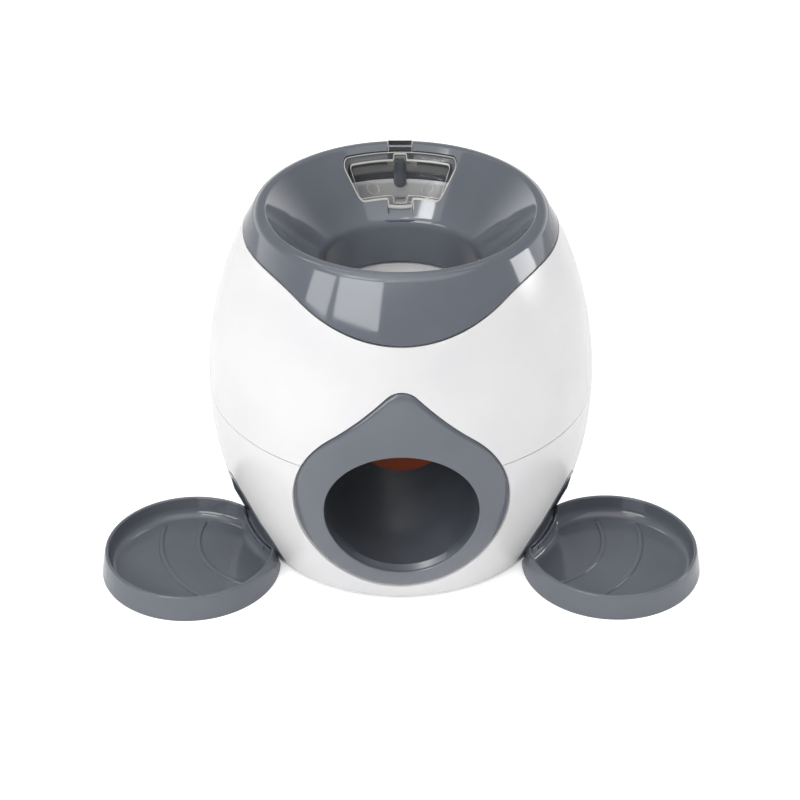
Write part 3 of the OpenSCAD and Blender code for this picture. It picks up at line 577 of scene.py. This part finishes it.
# right half of a ring sector about the back, with leaning sides and round corners, as five runs of points
def sectorRuns(inner, outer, halfIn, halfOut, corner, d=0.0):
    wide = outer * np.array([math.sin(math.radians(halfOut)), math.cos(math.radians(halfOut))])
    narrow = inner * np.array([math.sin(math.radians(halfIn)), math.cos(math.radians(halfIn))])
    lean = math.atan2(*(wide - narrow))
    r0, r1, c = inner - d, outer + d, max(corner + d, lid["leastCorner"])
    off = wide[0] * math.cos(lean) - wide[1] * math.sin(lean) + d - c
    outTurn, inTurn = lean + math.asin(off / (r1 - c)), lean + math.asin(off / (r0 + c))
    out, low, tip = math.degrees(outTurn), math.degrees(inTurn), math.degrees(lean)
    outCorner = arcPoints(((r1 - c) * math.sin(outTurn), (r1 - c) * math.cos(outTurn)), c, 90 - out, -tip, 14)
    inCorner = arcPoints(((r0 + c) * math.sin(inTurn), (r0 + c) * math.cos(inTurn)), c, -tip, -90 - low, 14)
    return [arcPoints((0, 0), r1, 90, 90 - out, 40), outCorner, np.linspace(outCorner[-1], inCorner[0], 14),
            inCorner, arcPoints((0, 0), r0, 90 - low, 90, 60)]


# outlines of the lid and of its pan, moved out by d
def lidRuns(d=0.0, rimBack=0.0):
    return sectorRuns(lid["inner"], lid["outer"] - rimBack, lid["halfIn"], lid["halfOut"], lid["corner"], d)


def panRuns(d=0.0):
    return sectorRuns(lid["panInner"], lid["panOuter"], lid["panHalfIn"], lid["panHalfOut"], lid["panCorner"], d)


# runs end to end as one line, and as a loop with its mirror image
def joinLine(runs):
    return np.concatenate([runs[0]] + [run[1:] for run in runs[1:]])


def joinRuns(runs):
    return closeLoop(joinLine(runs))


# a run of points with its corners eased by a running mean, its ends kept
def easeRun(line, count, width):
    fine = respace(line, count)
    padded = np.concatenate([2 * fine[0] - fine[width:0:-1], fine, 2 * fine[-1] - fine[-2:-width - 2:-1]])
    window = np.ones(2 * width + 1) / (2 * width + 1)
    return np.stack([np.convolve(padded[:, k], window, "valid") for k in (0, 1)], -1)


# pan's loop with a channel up to the hinge and one down to the tab
def panLoop():
    a, runs = lid, panRuns()
    top, low = runs[0], runs[4]
    half, lowHalf, (aside, above) = a["channelHalf"], a["lowChannelHalf"], a["lowChannelEase"]
    top = np.concatenate([[[0, a["channelY"]], [half, a["channelY"]]], top[top[:, 0] > half]])
    low = np.concatenate([low[low[:, 0] > lowHalf + aside],
                          [[lowHalf, a["panInner"] - above], [lowHalf, a["lowChannelY"]], [0, a["lowChannelY"]]]])
    runs[0], runs[4] = easeRun(top, a["runSteps"][0], 1), easeRun(low, a["runSteps"][4], 2)
    return joinRuns(runs)


# lid's edge with its latch tab, which has rounded corners
def flangeLoop():
    a, runs = lid, lidRuns(rimBack=lid["rimBack"])
    low = runs[4]
    low = np.concatenate([low[low[:, 0] > a["tabHalf"]],
                          [[a["tabHalf"], a["inner"] - a["tabEase"]], [a["tabHalf"], a["tabY"]], [0, a["tabY"]]]])
    runs[0], runs[4] = respace(runs[0], a["runSteps"][0]), easeRun(low, a["runSteps"][4], 3)
    return joinRuns(runs)


# collar: columns at turns from the back, rows along the section from the skirt's foot over the rim into the neck
def makeCollar():
    f = funnel
    # outline of the lid's seat as two radii for each turn from the back
    line = joinLine(lidRuns(f["seatGap"]))
    seatTurn, seatRadius = np.arctan2(*line.T), np.hypot(*line.T)
    far = int(np.argmax(seatTurn))
    seatMost = seatTurn[far]
    slotTurn = math.asin(f["slotHalf"] / lid["outer"])
    bendEnd = math.radians(f["bendEnd"])
    half = np.concatenate([slotTurn * slotColumns, np.linspace(slotTurn * slotColumns[-1], bendEnd, 8)[1:],
                           (bendEnd + (seatMost - bendEnd) * np.sin(np.linspace(0, math.pi / 2, 34)))[1:],
                           (seatMost + (math.pi - seatMost) * np.linspace(0, 1, 90) ** f["spread"])[1:]])
    turn = np.concatenate([half, -half[-2:0:-1]])
    size = np.abs(turn)
    outer = np.interp(size, seatTurn[:far + 1], seatRadius[:far + 1])
    inner = np.interp(size, seatTurn[far:][::-1], seatRadius[far:][::-1])
    weight = 1.0 - smoothStep((size - slotTurn) / (bendEnd - slotTurn))

    # a row of the sheet: near the slot the columns run straight back, elsewhere along the radius
    def place(radius, z, scooped=False):
        straight = np.arcsin(np.clip(lid["outer"] * np.sin(turn) / radius, -1, 1))
        bent = weight * straight + (1.0 - weight) * turn
        x, y = radius * np.sin(bent), radius * np.cos(bent)
        if scooped:
            # finger scoop: how far a point lies inside a rounded rectangle, as a smooth step down
            side = np.abs(x) - f["scoopHalf"] + f["scoopRound"]
            foot = f["scoopR"] + f["scoopRound"] - radius
            past = np.where((side > 0) & (foot > 0), np.hypot(side, foot), np.maximum(side, foot))
            step = smoothStep((f["scoopRound"] - past) / f["scoopSoft"])
            z = z - f["scoopDepth"] / math.cos(slope) * step * (y > 0)
        return np.stack([x, y, z + 0.0 * turn], -1)

    # rim: a round that touches the barrel and the level top
    rollZ = f["top"] - f["roll"]
    reach = barrel["side"] - f["sunk"] - f["roll"]
    rollTurn = math.asin((rollZ - barrel["waist"]) / reach)
    rollX = barrel["radius"] - barrel["side"] + reach * math.cos(rollTurn)
    rollStart = rollZ + f["roll"] * math.sin(rollTurn)
    foot = edgeHeight(turn + math.pi, -f["gap"], -f["sunk"])
    backFoot = edgeHeight(np.array([math.pi]), -f["gap"], -f["sunk"])[0]
    slotShare = (f["slotLow"] - backFoot) / (rollStart - backFoot)
    shares = np.concatenate([np.linspace(0.0, slotShare, f["slotRows"] + 1), np.linspace(slotShare, 1.0, 10)[1:]])
    rows = []
    for share in shares:
        z = foot + (rollStart - foot) * share
        rows.append(place(barrelRadius(z, -f["sunk"]), z))
    rows += [place(x, z) for x, z in arcPoints((rollX, rollZ), f["roll"], math.degrees(rollTurn), 90.0, 12)[1:]]
    crest = f["coneR"] + (f["top"] - f["coneZ"]) / math.tan(slope)
    back = f["innerEdge"] * math.tan(slope / 2)
    brink = arcPoints((crest + back, f["top"] - f["innerEdge"]), f["innerEdge"], 90.0, 90.0 + f["slope"], 6)
    rows += [place(x, f["top"]) for x in np.linspace(rollX, crest + back, 4)[1:-1]]
    rows += [place(x, z) for x, z in brink]
    for share in np.linspace(0.0, 1.0, 12)[1:]:
        radius = brink[-1, 0] + (outer - brink[-1, 0]) * share
        rows.append(place(radius, coneHeight(radius)))
    upper = np.stack(rows)
    slotColumn = size < slotTurn - 1e-6
    slotColumn = slotColumn | np.roll(slotColumn, -1)
    keepUpper = np.ones((len(rows) - 1, len(turn)), bool)
    keepUpper[f["slotRows"]:, slotColumn] = False
    # below the seat: cone, neck fillet, neck
    rows = []
    for share in np.linspace(0.0, 1.0, 18):
        radius = inner + (f["fingerR"] - inner) * share
        rows.append(place(radius, coneHeight(radius), True))
    bend = arcPoints((f["neck"] + f["neckRound"], f["neckRoundZ"]), f["neckRound"], 90 + f["slope"], 180.0, 12)
    rows += [place(x, z) for x, z in bend]
    rows += [place(f["neck"], z) for z in np.linspace(f["neckRoundZ"], f["neckLow"], 8)[1:]]
    addPiece("funnel_skin", [dict(grid=upper, keep=keepUpper), dict(grid=np.stack(rows))], "grey_abs", "housing",
             ["funnel_collar"], wall=f["wall"], edge=f["edge"])


# seat of the lid: ledge, hopper wall notched for the hinge and dark as painted shade, post, wall behind the hinge,
# pale throat lining

seat = dict(ledgeThick=1.0, ledgeOver=0.7, slotFrom=50.0,
            wallR=62.2, wallHalf=33.0, wallLow=152.1, wallTop=163.5, notchHalf=8.05, notchLow=157.5,
            postR=3.2, postY=61.2, postLow=147.6, postTop=163.0,
            throatR=62.0, throatHalf=31.0, throatLow=133.0, throatTop=151.9,
            backHalf=5.9, backLow=163.5, backTop=169.7, backThick=0.6, backInset=0.15)


def makeSeat():
    f, s = funnel, seat
    ledgeOut = joinRuns(lidRuns(s["ledgeOver"]))
    ledgeIn = joinRuns(panRuns(lid["panWall"] + lid["play"]))
    flat = blend(ledgeOut, ledgeIn, np.linspace(0.0, 1.0, 4))
    near = flat[:-1]
    inSlot = (np.abs(near[..., 0]) < f["slotHalf"]) & (near[..., 1] > s["slotFrom"])
    ring = dict(grid=onCone(flat, f["seatDepth"]), keep=~inSlot)
    addPiece("lid_seat", [ring], "grey_abs", "housing", ["funnel_collar"], wall=s["ledgeThick"])
    # hopper wall: stands for the collar's inner skirt behind the pan; its dark satin colour is painted shade
    wall = tubeStrip(s["wallR"], s["wallHalf"], s["wallLow"], s["wallTop"], 10)
    near = wall[:-1, :-1]
    inNotch = (np.abs(near[..., 0]) < s["notchHalf"]) & (near[..., 2] > s["notchLow"])
    addPiece("hopper_wall", [dict(grid=wall, closed=(False, False), keep=~inNotch)], "dark_abs", "housing",
             ["funnel_collar"], wall=s["ledgeThick"])
    # post: a round bar with a rounded lower end
    bar = np.concatenate([arcPoints((0.0, s["postLow"] + s["postR"]), s["postR"], -90.0, 0.0, 10),
                          [[s["postR"], s["postTop"]], [0.0, s["postTop"]]]])
    angle = np.linspace(0.0, 2 * math.pi, 33)[:-1]
    post = np.stack([bar[:, :1] * np.cos(angle), s["postY"] + bar[:, :1] * np.sin(angle),
                     bar[:, 1:] + 0 * angle], -1)
    # wall behind the hinge: a strip of the rim's own outline, closed at its ends
    rollZ = f["top"] - f["roll"]
    rollX = barrelRadius(rollZ, -f["sunk"]) - f["roll"]
    rise = np.linspace(s["backLow"], s["backTop"], 12)
    far = rollX + np.sqrt(f["roll"] ** 2 - np.maximum(rise - rollZ, 0.0) ** 2) - s["backInset"]
    loop = np.concatenate([np.stack([far, rise], -1), np.stack([far - s["backThick"], rise], -1)[::-1]])
    core, half = loop.mean(0), s["backHalf"]
    strip = [np.stack([np.full(len(loop), x), *(core + (loop - core) * grow).T], -1)
             for x, grow in ((-half, 0.0), (-half, 1.0), (half, 1.0), (half, 0.0))]
    addPiece("hinge_post", [dict(grid=post), dict(grid=np.stack(strip))], "grey_abs", "housing", ["funnel_collar"])
    lining = tubeStrip(s["throatR"], s["throatHalf"], s["throatLow"], s["throatTop"], 8)
    addPiece("hopper_throat", [dict(grid=lining, closed=(False, False))], "white_abs", "housing", [],
             wall=s["ledgeThick"])


makeCollar()
makeSeat()
print("collar made")


# hopper lid: a clear pan with a rounded rim, channels to the hinge and the tab, and the hinge block

# rings of the lid's surface: steps off a loop, with a depth or a lift, and how much painted highlight the ring gets
lidRings = dict(
    floorInset=0.8, foot=((-0.45, 0.08, 0.35), (-0.2, 0.35, 0.35)),
    brim=((-0.1, 0.6, 0.0), (0.0, 0.3, 0.45), (0.2, 0.08, 0.95), (0.42, 0.0, 0.6), (0.6, 0.0, 0.0)),
    topInset=0.12, topPaintedHighlight=0.8, lowInset=0.3, lowPaintedHighlight=0.2,
    under=((-0.15, 2.4), (-0.4, 0.5), (-0.6, 0.12), (-1.0, 0.0)), markPaintedHighlight=0.7)
# hinge block: section y, z of a slab on the cone with a raised band along the rim; its ends as scale, x and painted
# highlight
hinge = dict(
    coneY=(58.9, 60.6), lowY=59.6, lowDepth=2.2, core=(63.2, 167.8),
    band=((61.7, 169.7), (62.3, 170.0), (62.8, 170.05), (63.0, 170.4), (64.9, 170.4), (65.2, 170.0), (66.0, 169.7),
          (66.5, 168.8), (66.5, 167.7), (66.0, 166.5), (64.9, 165.4), (63.2, 164.9), (61.2, 165.4)),
    ends=((0.0, 5.9, 0.0), (0.9, 5.9, 0.1), (0.97, 5.8, 0.5), (1.0, 5.45, 0.5), (1.0, 5.2, 0.0)))


# lid: rings from the middle of the pan's floor over the brim and the flange to the middle of the underside
def makeLid():
    a, g, h = lid, lidRings, hinge
    rim, pan, edge = flangeLoop(), panLoop(), lid["edge"]
    centre = np.array([0.0, a["middleY"]])
    rows, glow = [], []

    # a ring of the lid and its share of painted highlight
    def ring(loop, depth, light=0.0):
        rows.append(onCone(loop, depth))
        glow.append(light)

    # depth of the pan's floor, which rises into the channels
    def floorDepth(flat):
        radius = np.hypot(*flat.T)
        channel = np.maximum(radius - a["panOuter"], a["panInner"] - radius) / a["channelRise"] + 1.0
        return a["panDepth"] - (a["panDepth"] - a["channelDepth"]) * smoothStep(channel)

    def pole(depth):
        ring(np.repeat(centre[None], len(pan), 0), depth)

    pole(a["panDepth"])
    inside = growLoop(pan, -g["floorInset"])
    for share in np.linspace(0.0, 1.0, 9)[1:]:
        flat = centre + (inside - centre) * share
        ring(flat, floorDepth(flat))
    for off, lift, light in g["foot"]:
        flat = growLoop(pan, off)
        ring(flat, floorDepth(flat) - lift, light)
    for off, depth, light in g["brim"]:
        ring(growLoop(pan, off), depth, light)
    for flat in blend(growLoop(pan, g["brim"][-1][0]), growLoop(rim, -edge - g["topInset"]), (0.35, 0.7, 1.0)):
        ring(flat, 0.0)
    for depth, inset in quarterRound(6):     # upper edge of the flange
        ring(growLoop(rim, -edge * inset), edge * depth, g["topPaintedHighlight"])
    for inset, depth in quarterRound(4):     # lower edge
        ring(growLoop(rim, -edge * inset), a["flange"] - edge * depth, g["lowPaintedHighlight"])
    base = joinRuns([respace(run, count) for run, count in zip(panRuns(), a["runSteps"])])
    for flat in blend(growLoop(rim, -edge - g["lowInset"]), growLoop(base, a["panWall"]), (0.4, 1.0)):
        ring(flat, a["flange"])
    low = a["panDepth"] + a["panWall"]
    for off, lift in g["under"]:
        last = growLoop(base, a["panWall"] + off)
        ring(last, low - lift)
    for share in np.linspace(1.0, 0.0, 7)[1:-1]:
        ring(centre + (last - centre) * share, low)
    pole(low)
    patches = [dict(grid=np.stack(rows), glow=glow)]

    # hinge block: its section carried across, drawn in at both ends, the ends given a painted highlight
    skin = np.array([*((y, coneHeight(y)) for y in h["coneY"]), *h["band"],
                     (h["lowY"], coneHeight(h["lowY"]) - h["lowDepth"])])
    loop = respace(np.concatenate([skin, skin[:1]]), 97)[:-1]
    core = np.array(h["core"])
    slices = [*((scale, -x, light) for scale, x, light in h["ends"]), (1.0, 0.0, 0.0), *h["ends"][::-1]]
    slab = [np.stack([np.full(len(loop), x), *(core + (loop - core) * scale).T], -1) for scale, x, _ in slices]
    patches.append(dict(grid=np.stack(slab), glow=[light for _, _, light in slices]))

    # marks of two ejector pins in the pan: fine rings, given a painted highlight
    around = np.linspace(0.0, 2 * math.pi, 49)[:-1][:, None]
    tube = np.linspace(0.0, 2 * math.pi, 9)[:-1]
    spread = a["markR"] + a["markLine"] * np.cos(tube)
    for side in (-1.0, 1.0):
        flat = np.stack([side * a["markX"] + spread * np.cos(around),
                         a["markY"] + spread * np.sin(around) * math.cos(slope)], -1)
        patches.append(dict(grid=onCone(flat, a["panDepth"] - a["markLine"] * np.sin(tube)),
                            closed=(True, True), glow=g["markPaintedHighlight"]))
    addPiece("clear_lid", patches, "smoke_clear", "lid", ["hopper_lid"])
    # slot of the latch at the top of the tab: a dark sheet sunk in the clear lid, painted shade for the slot's dark
    # inside
    x, y = np.meshgrid(np.linspace(-a["slotHalf"], a["slotHalf"], 7), np.linspace(a["slotNear"], a["slotFar"], 4))
    sheet = onCone(np.stack([x, y], -1), a["slotDepth"])
    addPiece("latch_slot", [dict(grid=sheet, closed=(False, False))], "dark_abs", "lid", ["hopper_lid"],
             wall=a["slotThick"])


makeLid()
print("lid made")


# bowls: a round dish cut away where it meets the barrel, floor ribs and the tongue that enters the outlet

bowl = dict(reach=110.845, turn=65.0, base=42.6, rim=40.7, high=12.2, wall=1.7, floor=1.9, under=0.7, corner=5.0,
            sideOut=0.35, sideDrop=2.0, footIn=0.1, footHigh=0.9, foot=((0.0, 0.35), (0.15, 0.08), (0.4, 0.0)),
            cut=0.6, cutSoft=0.04, backHigh=9.2, backFrom=4.0, backOver=7.7,
            ribBack=45.8, ribs=(39.5, 57.5), ribWide=2.6, ribHigh=0.8, ribEnd=34.0, ribFade=14.0, ribNarrow=0.4,
            tongueHalf=11.0, tongueLow=6.6, tongueHigh=8.6, tongueFar=78.2, tongueNear=67.555, tongueRound=0.4,
            tongueTip=0.8)
# section of a rib across its run, as shares of its half width and height
ribShape = np.array([[-1.0, -0.6], [-1.0, 0.0], [-0.86, 0.5], [-0.62, 0.86], [-0.3, 1.0],
                     [0.3, 1.0], [0.62, 0.86], [0.86, 0.5], [1.0, 0.0], [1.0, -0.6]])


# dish: a section spun about the bowl's middle, each spoke shortened where it would reach the barrel
def makeBowl(name, side, body, node):
    b = bowl
    angle = np.linspace(0.0, 2 * math.pi, 241)[:-1]
    # section from the middle of the floor over the rim to the middle of the underside
    inner, rim, heel = b["rim"] - b["wall"], b["wall"] / 2, b["base"] - b["wall"]
    section = np.concatenate([
        np.stack([np.linspace(0.0, inner - b["corner"], 12), np.full(12, b["floor"])], -1),
        arcPoints((inner - b["corner"], b["floor"] + b["corner"]), b["corner"], -90.0, 0.0, 12)[1:],
        arcPoints((b["rim"] - rim, b["high"] - rim), rim, 180.0, 8.0, 14),
        np.linspace((b["rim"] + b["sideOut"], b["high"] - b["sideDrop"]),
                    (b["base"] - b["footIn"], b["footHigh"]), 5),
        [[b["base"] - inset, z] for inset, z in b["foot"]],
        [[heel, 0.0], [heel, b["under"]], [0.0, b["under"]]]])
    r, level = section[:, :1], section[:, 1:]
    outer = b["base"] + (b["rim"] - b["base"]) * np.clip(level / b["high"], 0.0, 1.0)
    # distance from the bowl's middle to the barrel along each direction, with the rim lowered there
    lead, z = b["reach"] * np.cos(angle), level
    for _ in range(2):
        root = lead ** 2 - b["reach"] ** 2 + (barrelRadius(z) + b["cut"]) ** 2
        stop = np.where((lead < 0) & (root > 0), -lead - np.sqrt(np.maximum(root, 0.0)), np.inf)
        near = smoothStep((1.0 - np.minimum(1.0, stop / outer)) / b["cutSoft"])
        z = level - near * (b["high"] - b["backHigh"]) * smoothStep((level - b["backFrom"]) / b["backOver"])
    limit = np.minimum(outer, stop)
    radius = np.minimum(r, np.maximum(limit - (outer - r), 0.0))
    x, y = radius * np.sin(angle), -b["reach"] - radius * np.cos(angle)
    patches = [dict(grid=np.stack([x, y, z], -1))]

    # ribs: a low rounded bar along an arc, its ends run down into the floor
    back = b["reach"] - b["ribBack"]
    for arcRadius in b["ribs"]:
        # turn at which the arc meets the circle ribEnd about the bowl's middle
        most = math.acos((b["ribBack"] ** 2 + arcRadius ** 2 - b["ribEnd"] ** 2) / (2 * b["ribBack"] * arcRadius))
        run = np.linspace(-most, most, 70)[:, None]
        fade = np.sqrt(np.clip((1.0 - np.abs(run) / most) * b["ribFade"], 0.0, 1.0))
        across, up = ribShape.T
        far = arcRadius + across * b["ribWide"] / 2 * (b["ribNarrow"] + (1.0 - b["ribNarrow"]) * fade)
        top = b["floor"] + up * b["ribHigh"] * np.where(up > 0, fade, 1.0)
        patches.append(dict(grid=np.stack([far * np.sin(run), -back - far * np.cos(run), top], -1)))

    # tongue: a flat bar, drawn in at its ends
    mid, thick = (b["tongueLow"] + b["tongueHigh"]) / 2, (b["tongueHigh"] - b["tongueLow"]) / 2
    wide = b["tongueHalf"] * np.array([-1.0, 1.0, 1.0, -1.0])
    tall = thick * np.array([-1.0, -1.0, 1.0, 1.0])
    steps = ((b["tongueFar"], 0.0), (b["tongueFar"], 1.0), (b["tongueNear"] + b["tongueRound"], 1.0),
             (b["tongueNear"], b["tongueTip"]), (b["tongueNear"], 0.0))
    tongue = [np.stack([wide * grow, np.full(4, -reach), mid + tall * grow], -1) for reach, grow in steps]
    patches.append(dict(grid=np.stack(tongue)))
    for patch in patches:
        patch["grid"] = patch["grid"] @ spinBy(side * b["turn"])
    addPiece(name, patches, "grey_abs", body, [node])


makeBowl("left_dish", -1.0, "left_tray", "left_bowl")
makeBowl("right_dish", 1.0, "right_tray", "right_bowl")
print("bowls made")


# studio: pale floor, white surround that is brightest behind, a window of two panes and a thin high one in front on
# the left, a soft box on the right, a strip behind, a wide box above, and narrow beams into the neck and the exit

studio = dict(
    floor=6.0, paper="#f6f6f6", centre=(0.0, 0.0, 0.15), front=0.34, behind=1.9, glow=0.17, lift=0.42,
    boxes=[
        dict(name="narrowPane", turn=-56.5, rise=18.0, reach=1.2, size=(0.34, 0.28), watts=1.5),
        dict(name="widePane", turn=-29.0, rise=21.5, reach=1.2, size=(0.62, 0.36), watts=4.1),
        dict(name="highPane", turn=-37.0, rise=50.0, reach=1.2, size=(0.42, 0.09), watts=1.5),
        dict(name="sideBox", turn=94.0, rise=11.0, reach=1.1, size=(0.36, 0.3), watts=2.6),
        dict(name="backStrip", turn=-168.0, rise=58.0, reach=1.3, size=(1.0, 0.16), watts=1.9),
        dict(name="topBox", turn=-6.0, rise=66.0, reach=1.5, size=(2.2, 1.7), watts=15.5)],
    beams=[
        dict(name="neckBeam", aim=(0.0, 0.04, 0.111), turn=-8.0, rise=42.0, reach=1.2, cone=1.75, soft=0.03,
             watts=165.0),
        dict(name="exitBeam", aim=(0.017, -0.07, 0.03), turn=-24.0, rise=33.0, reach=1.2, cone=2.2, soft=0.02,
             watts=38.0)])
white = (1.0, 1.0, 1.0, 1.0)


# floor: a wide sheet of paper that glows a little, more to the eye than to the part
def addFloor():
    size = studio["floor"]
    mesh = bpy.data.meshes.new("floor")
    mesh.from_pydata([(-size, -size, 0), (size, -size, 0), (size, size, 0), (-size, size, 0)], [], [(0, 1, 2, 3)])
    floor = addObject(mesh)
    material, tree = startMaterial("pale_paper")
    seen = addNode(tree, "ShaderNodeLightPath").outputs["Is Camera Ray"]
    lift = addNode(tree, "ShaderNodeMapRange", {"To Min": studio["glow"], "To Max": studio["lift"]},
                   {"Value": seen})
    shader = addNode(tree, "ShaderNodeBsdfPrincipled",
                     {"Base Color": toLinear(studio["paper"]), "Roughness": 0.9, "Specular IOR Level": 0.1,
                      "Emission Color": white}, {"Emission Strength": lift.outputs["Result"]})
    addNode(tree, "ShaderNodeOutputMaterial", links={"Surface": shader.outputs["BSDF"]})
    mesh.materials.append(material)


def addLamps():
    for box in studio["boxes"]:
        data = bpy.data.lights.new(box["name"], "AREA")
        data.shape, data.energy = "RECTANGLE", box["watts"]
        data.size, data.size_y = box["size"]
        hangUp(data, box["turn"], box["rise"], box["reach"], studio["centre"])
    for beam in studio["beams"]:
        data = bpy.data.lights.new(beam["name"], "SPOT")
        data.energy, data.spot_size, data.spot_blend = beam["watts"], math.radians(beam["cone"]), 1.0
        data.shadow_soft_size = beam["soft"]
        hangUp(data, beam["turn"], beam["rise"], beam["reach"], beam["aim"])


# surround: dim in front and overhead, bright low down behind, and white to the eye
def addSurround():
    world = bpy.data.worlds.new("surround")
    world.use_nodes = True
    tree = world.node_tree
    tree.nodes.clear()
    aim = addNode(tree, "ShaderNodeTexCoord").outputs["Generated"]
    axes = addNode(tree, "ShaderNodeSeparateXYZ", links={"Vector": aim})
    low = addNode(tree, "ShaderNodeMapRange",
                  {"interpolation_type": "SMOOTHSTEP", "From Min": 0.5, "From Max": 0.1,
                   "To Min": studio["front"], "To Max": studio["behind"]}, {"Value": axes.outputs["Z"]})
    sweep = addNode(tree, "ShaderNodeMapRange",
                    {"interpolation_type": "SMOOTHSTEP", "From Min": -0.2, "From Max": 0.5,
                     "To Min": studio["front"]}, {"Value": axes.outputs["Y"], "To Max": low.outputs["Result"]})
    seen = addNode(tree, "ShaderNodeLightPath").outputs["Is Camera Ray"]
    strength = addNode(tree, "ShaderNodeMath", {"operation": "MAXIMUM"}, {0: sweep.outputs["Result"], 1: seen})
    sky = addNode(tree, "ShaderNodeBackground", {"Color": white}, {"Strength": strength.outputs["Value"]})
    addNode(tree, "ShaderNodeOutputWorld", links={"Surface": sky.outputs["Background"]})
    scene.world = world


addFloor()
addLamps()
addSurround()
scene.view_settings.view_transform = "Standard"
scene.view_settings.look = "None"
scene.cycles.use_denoising = True
print("studio set")
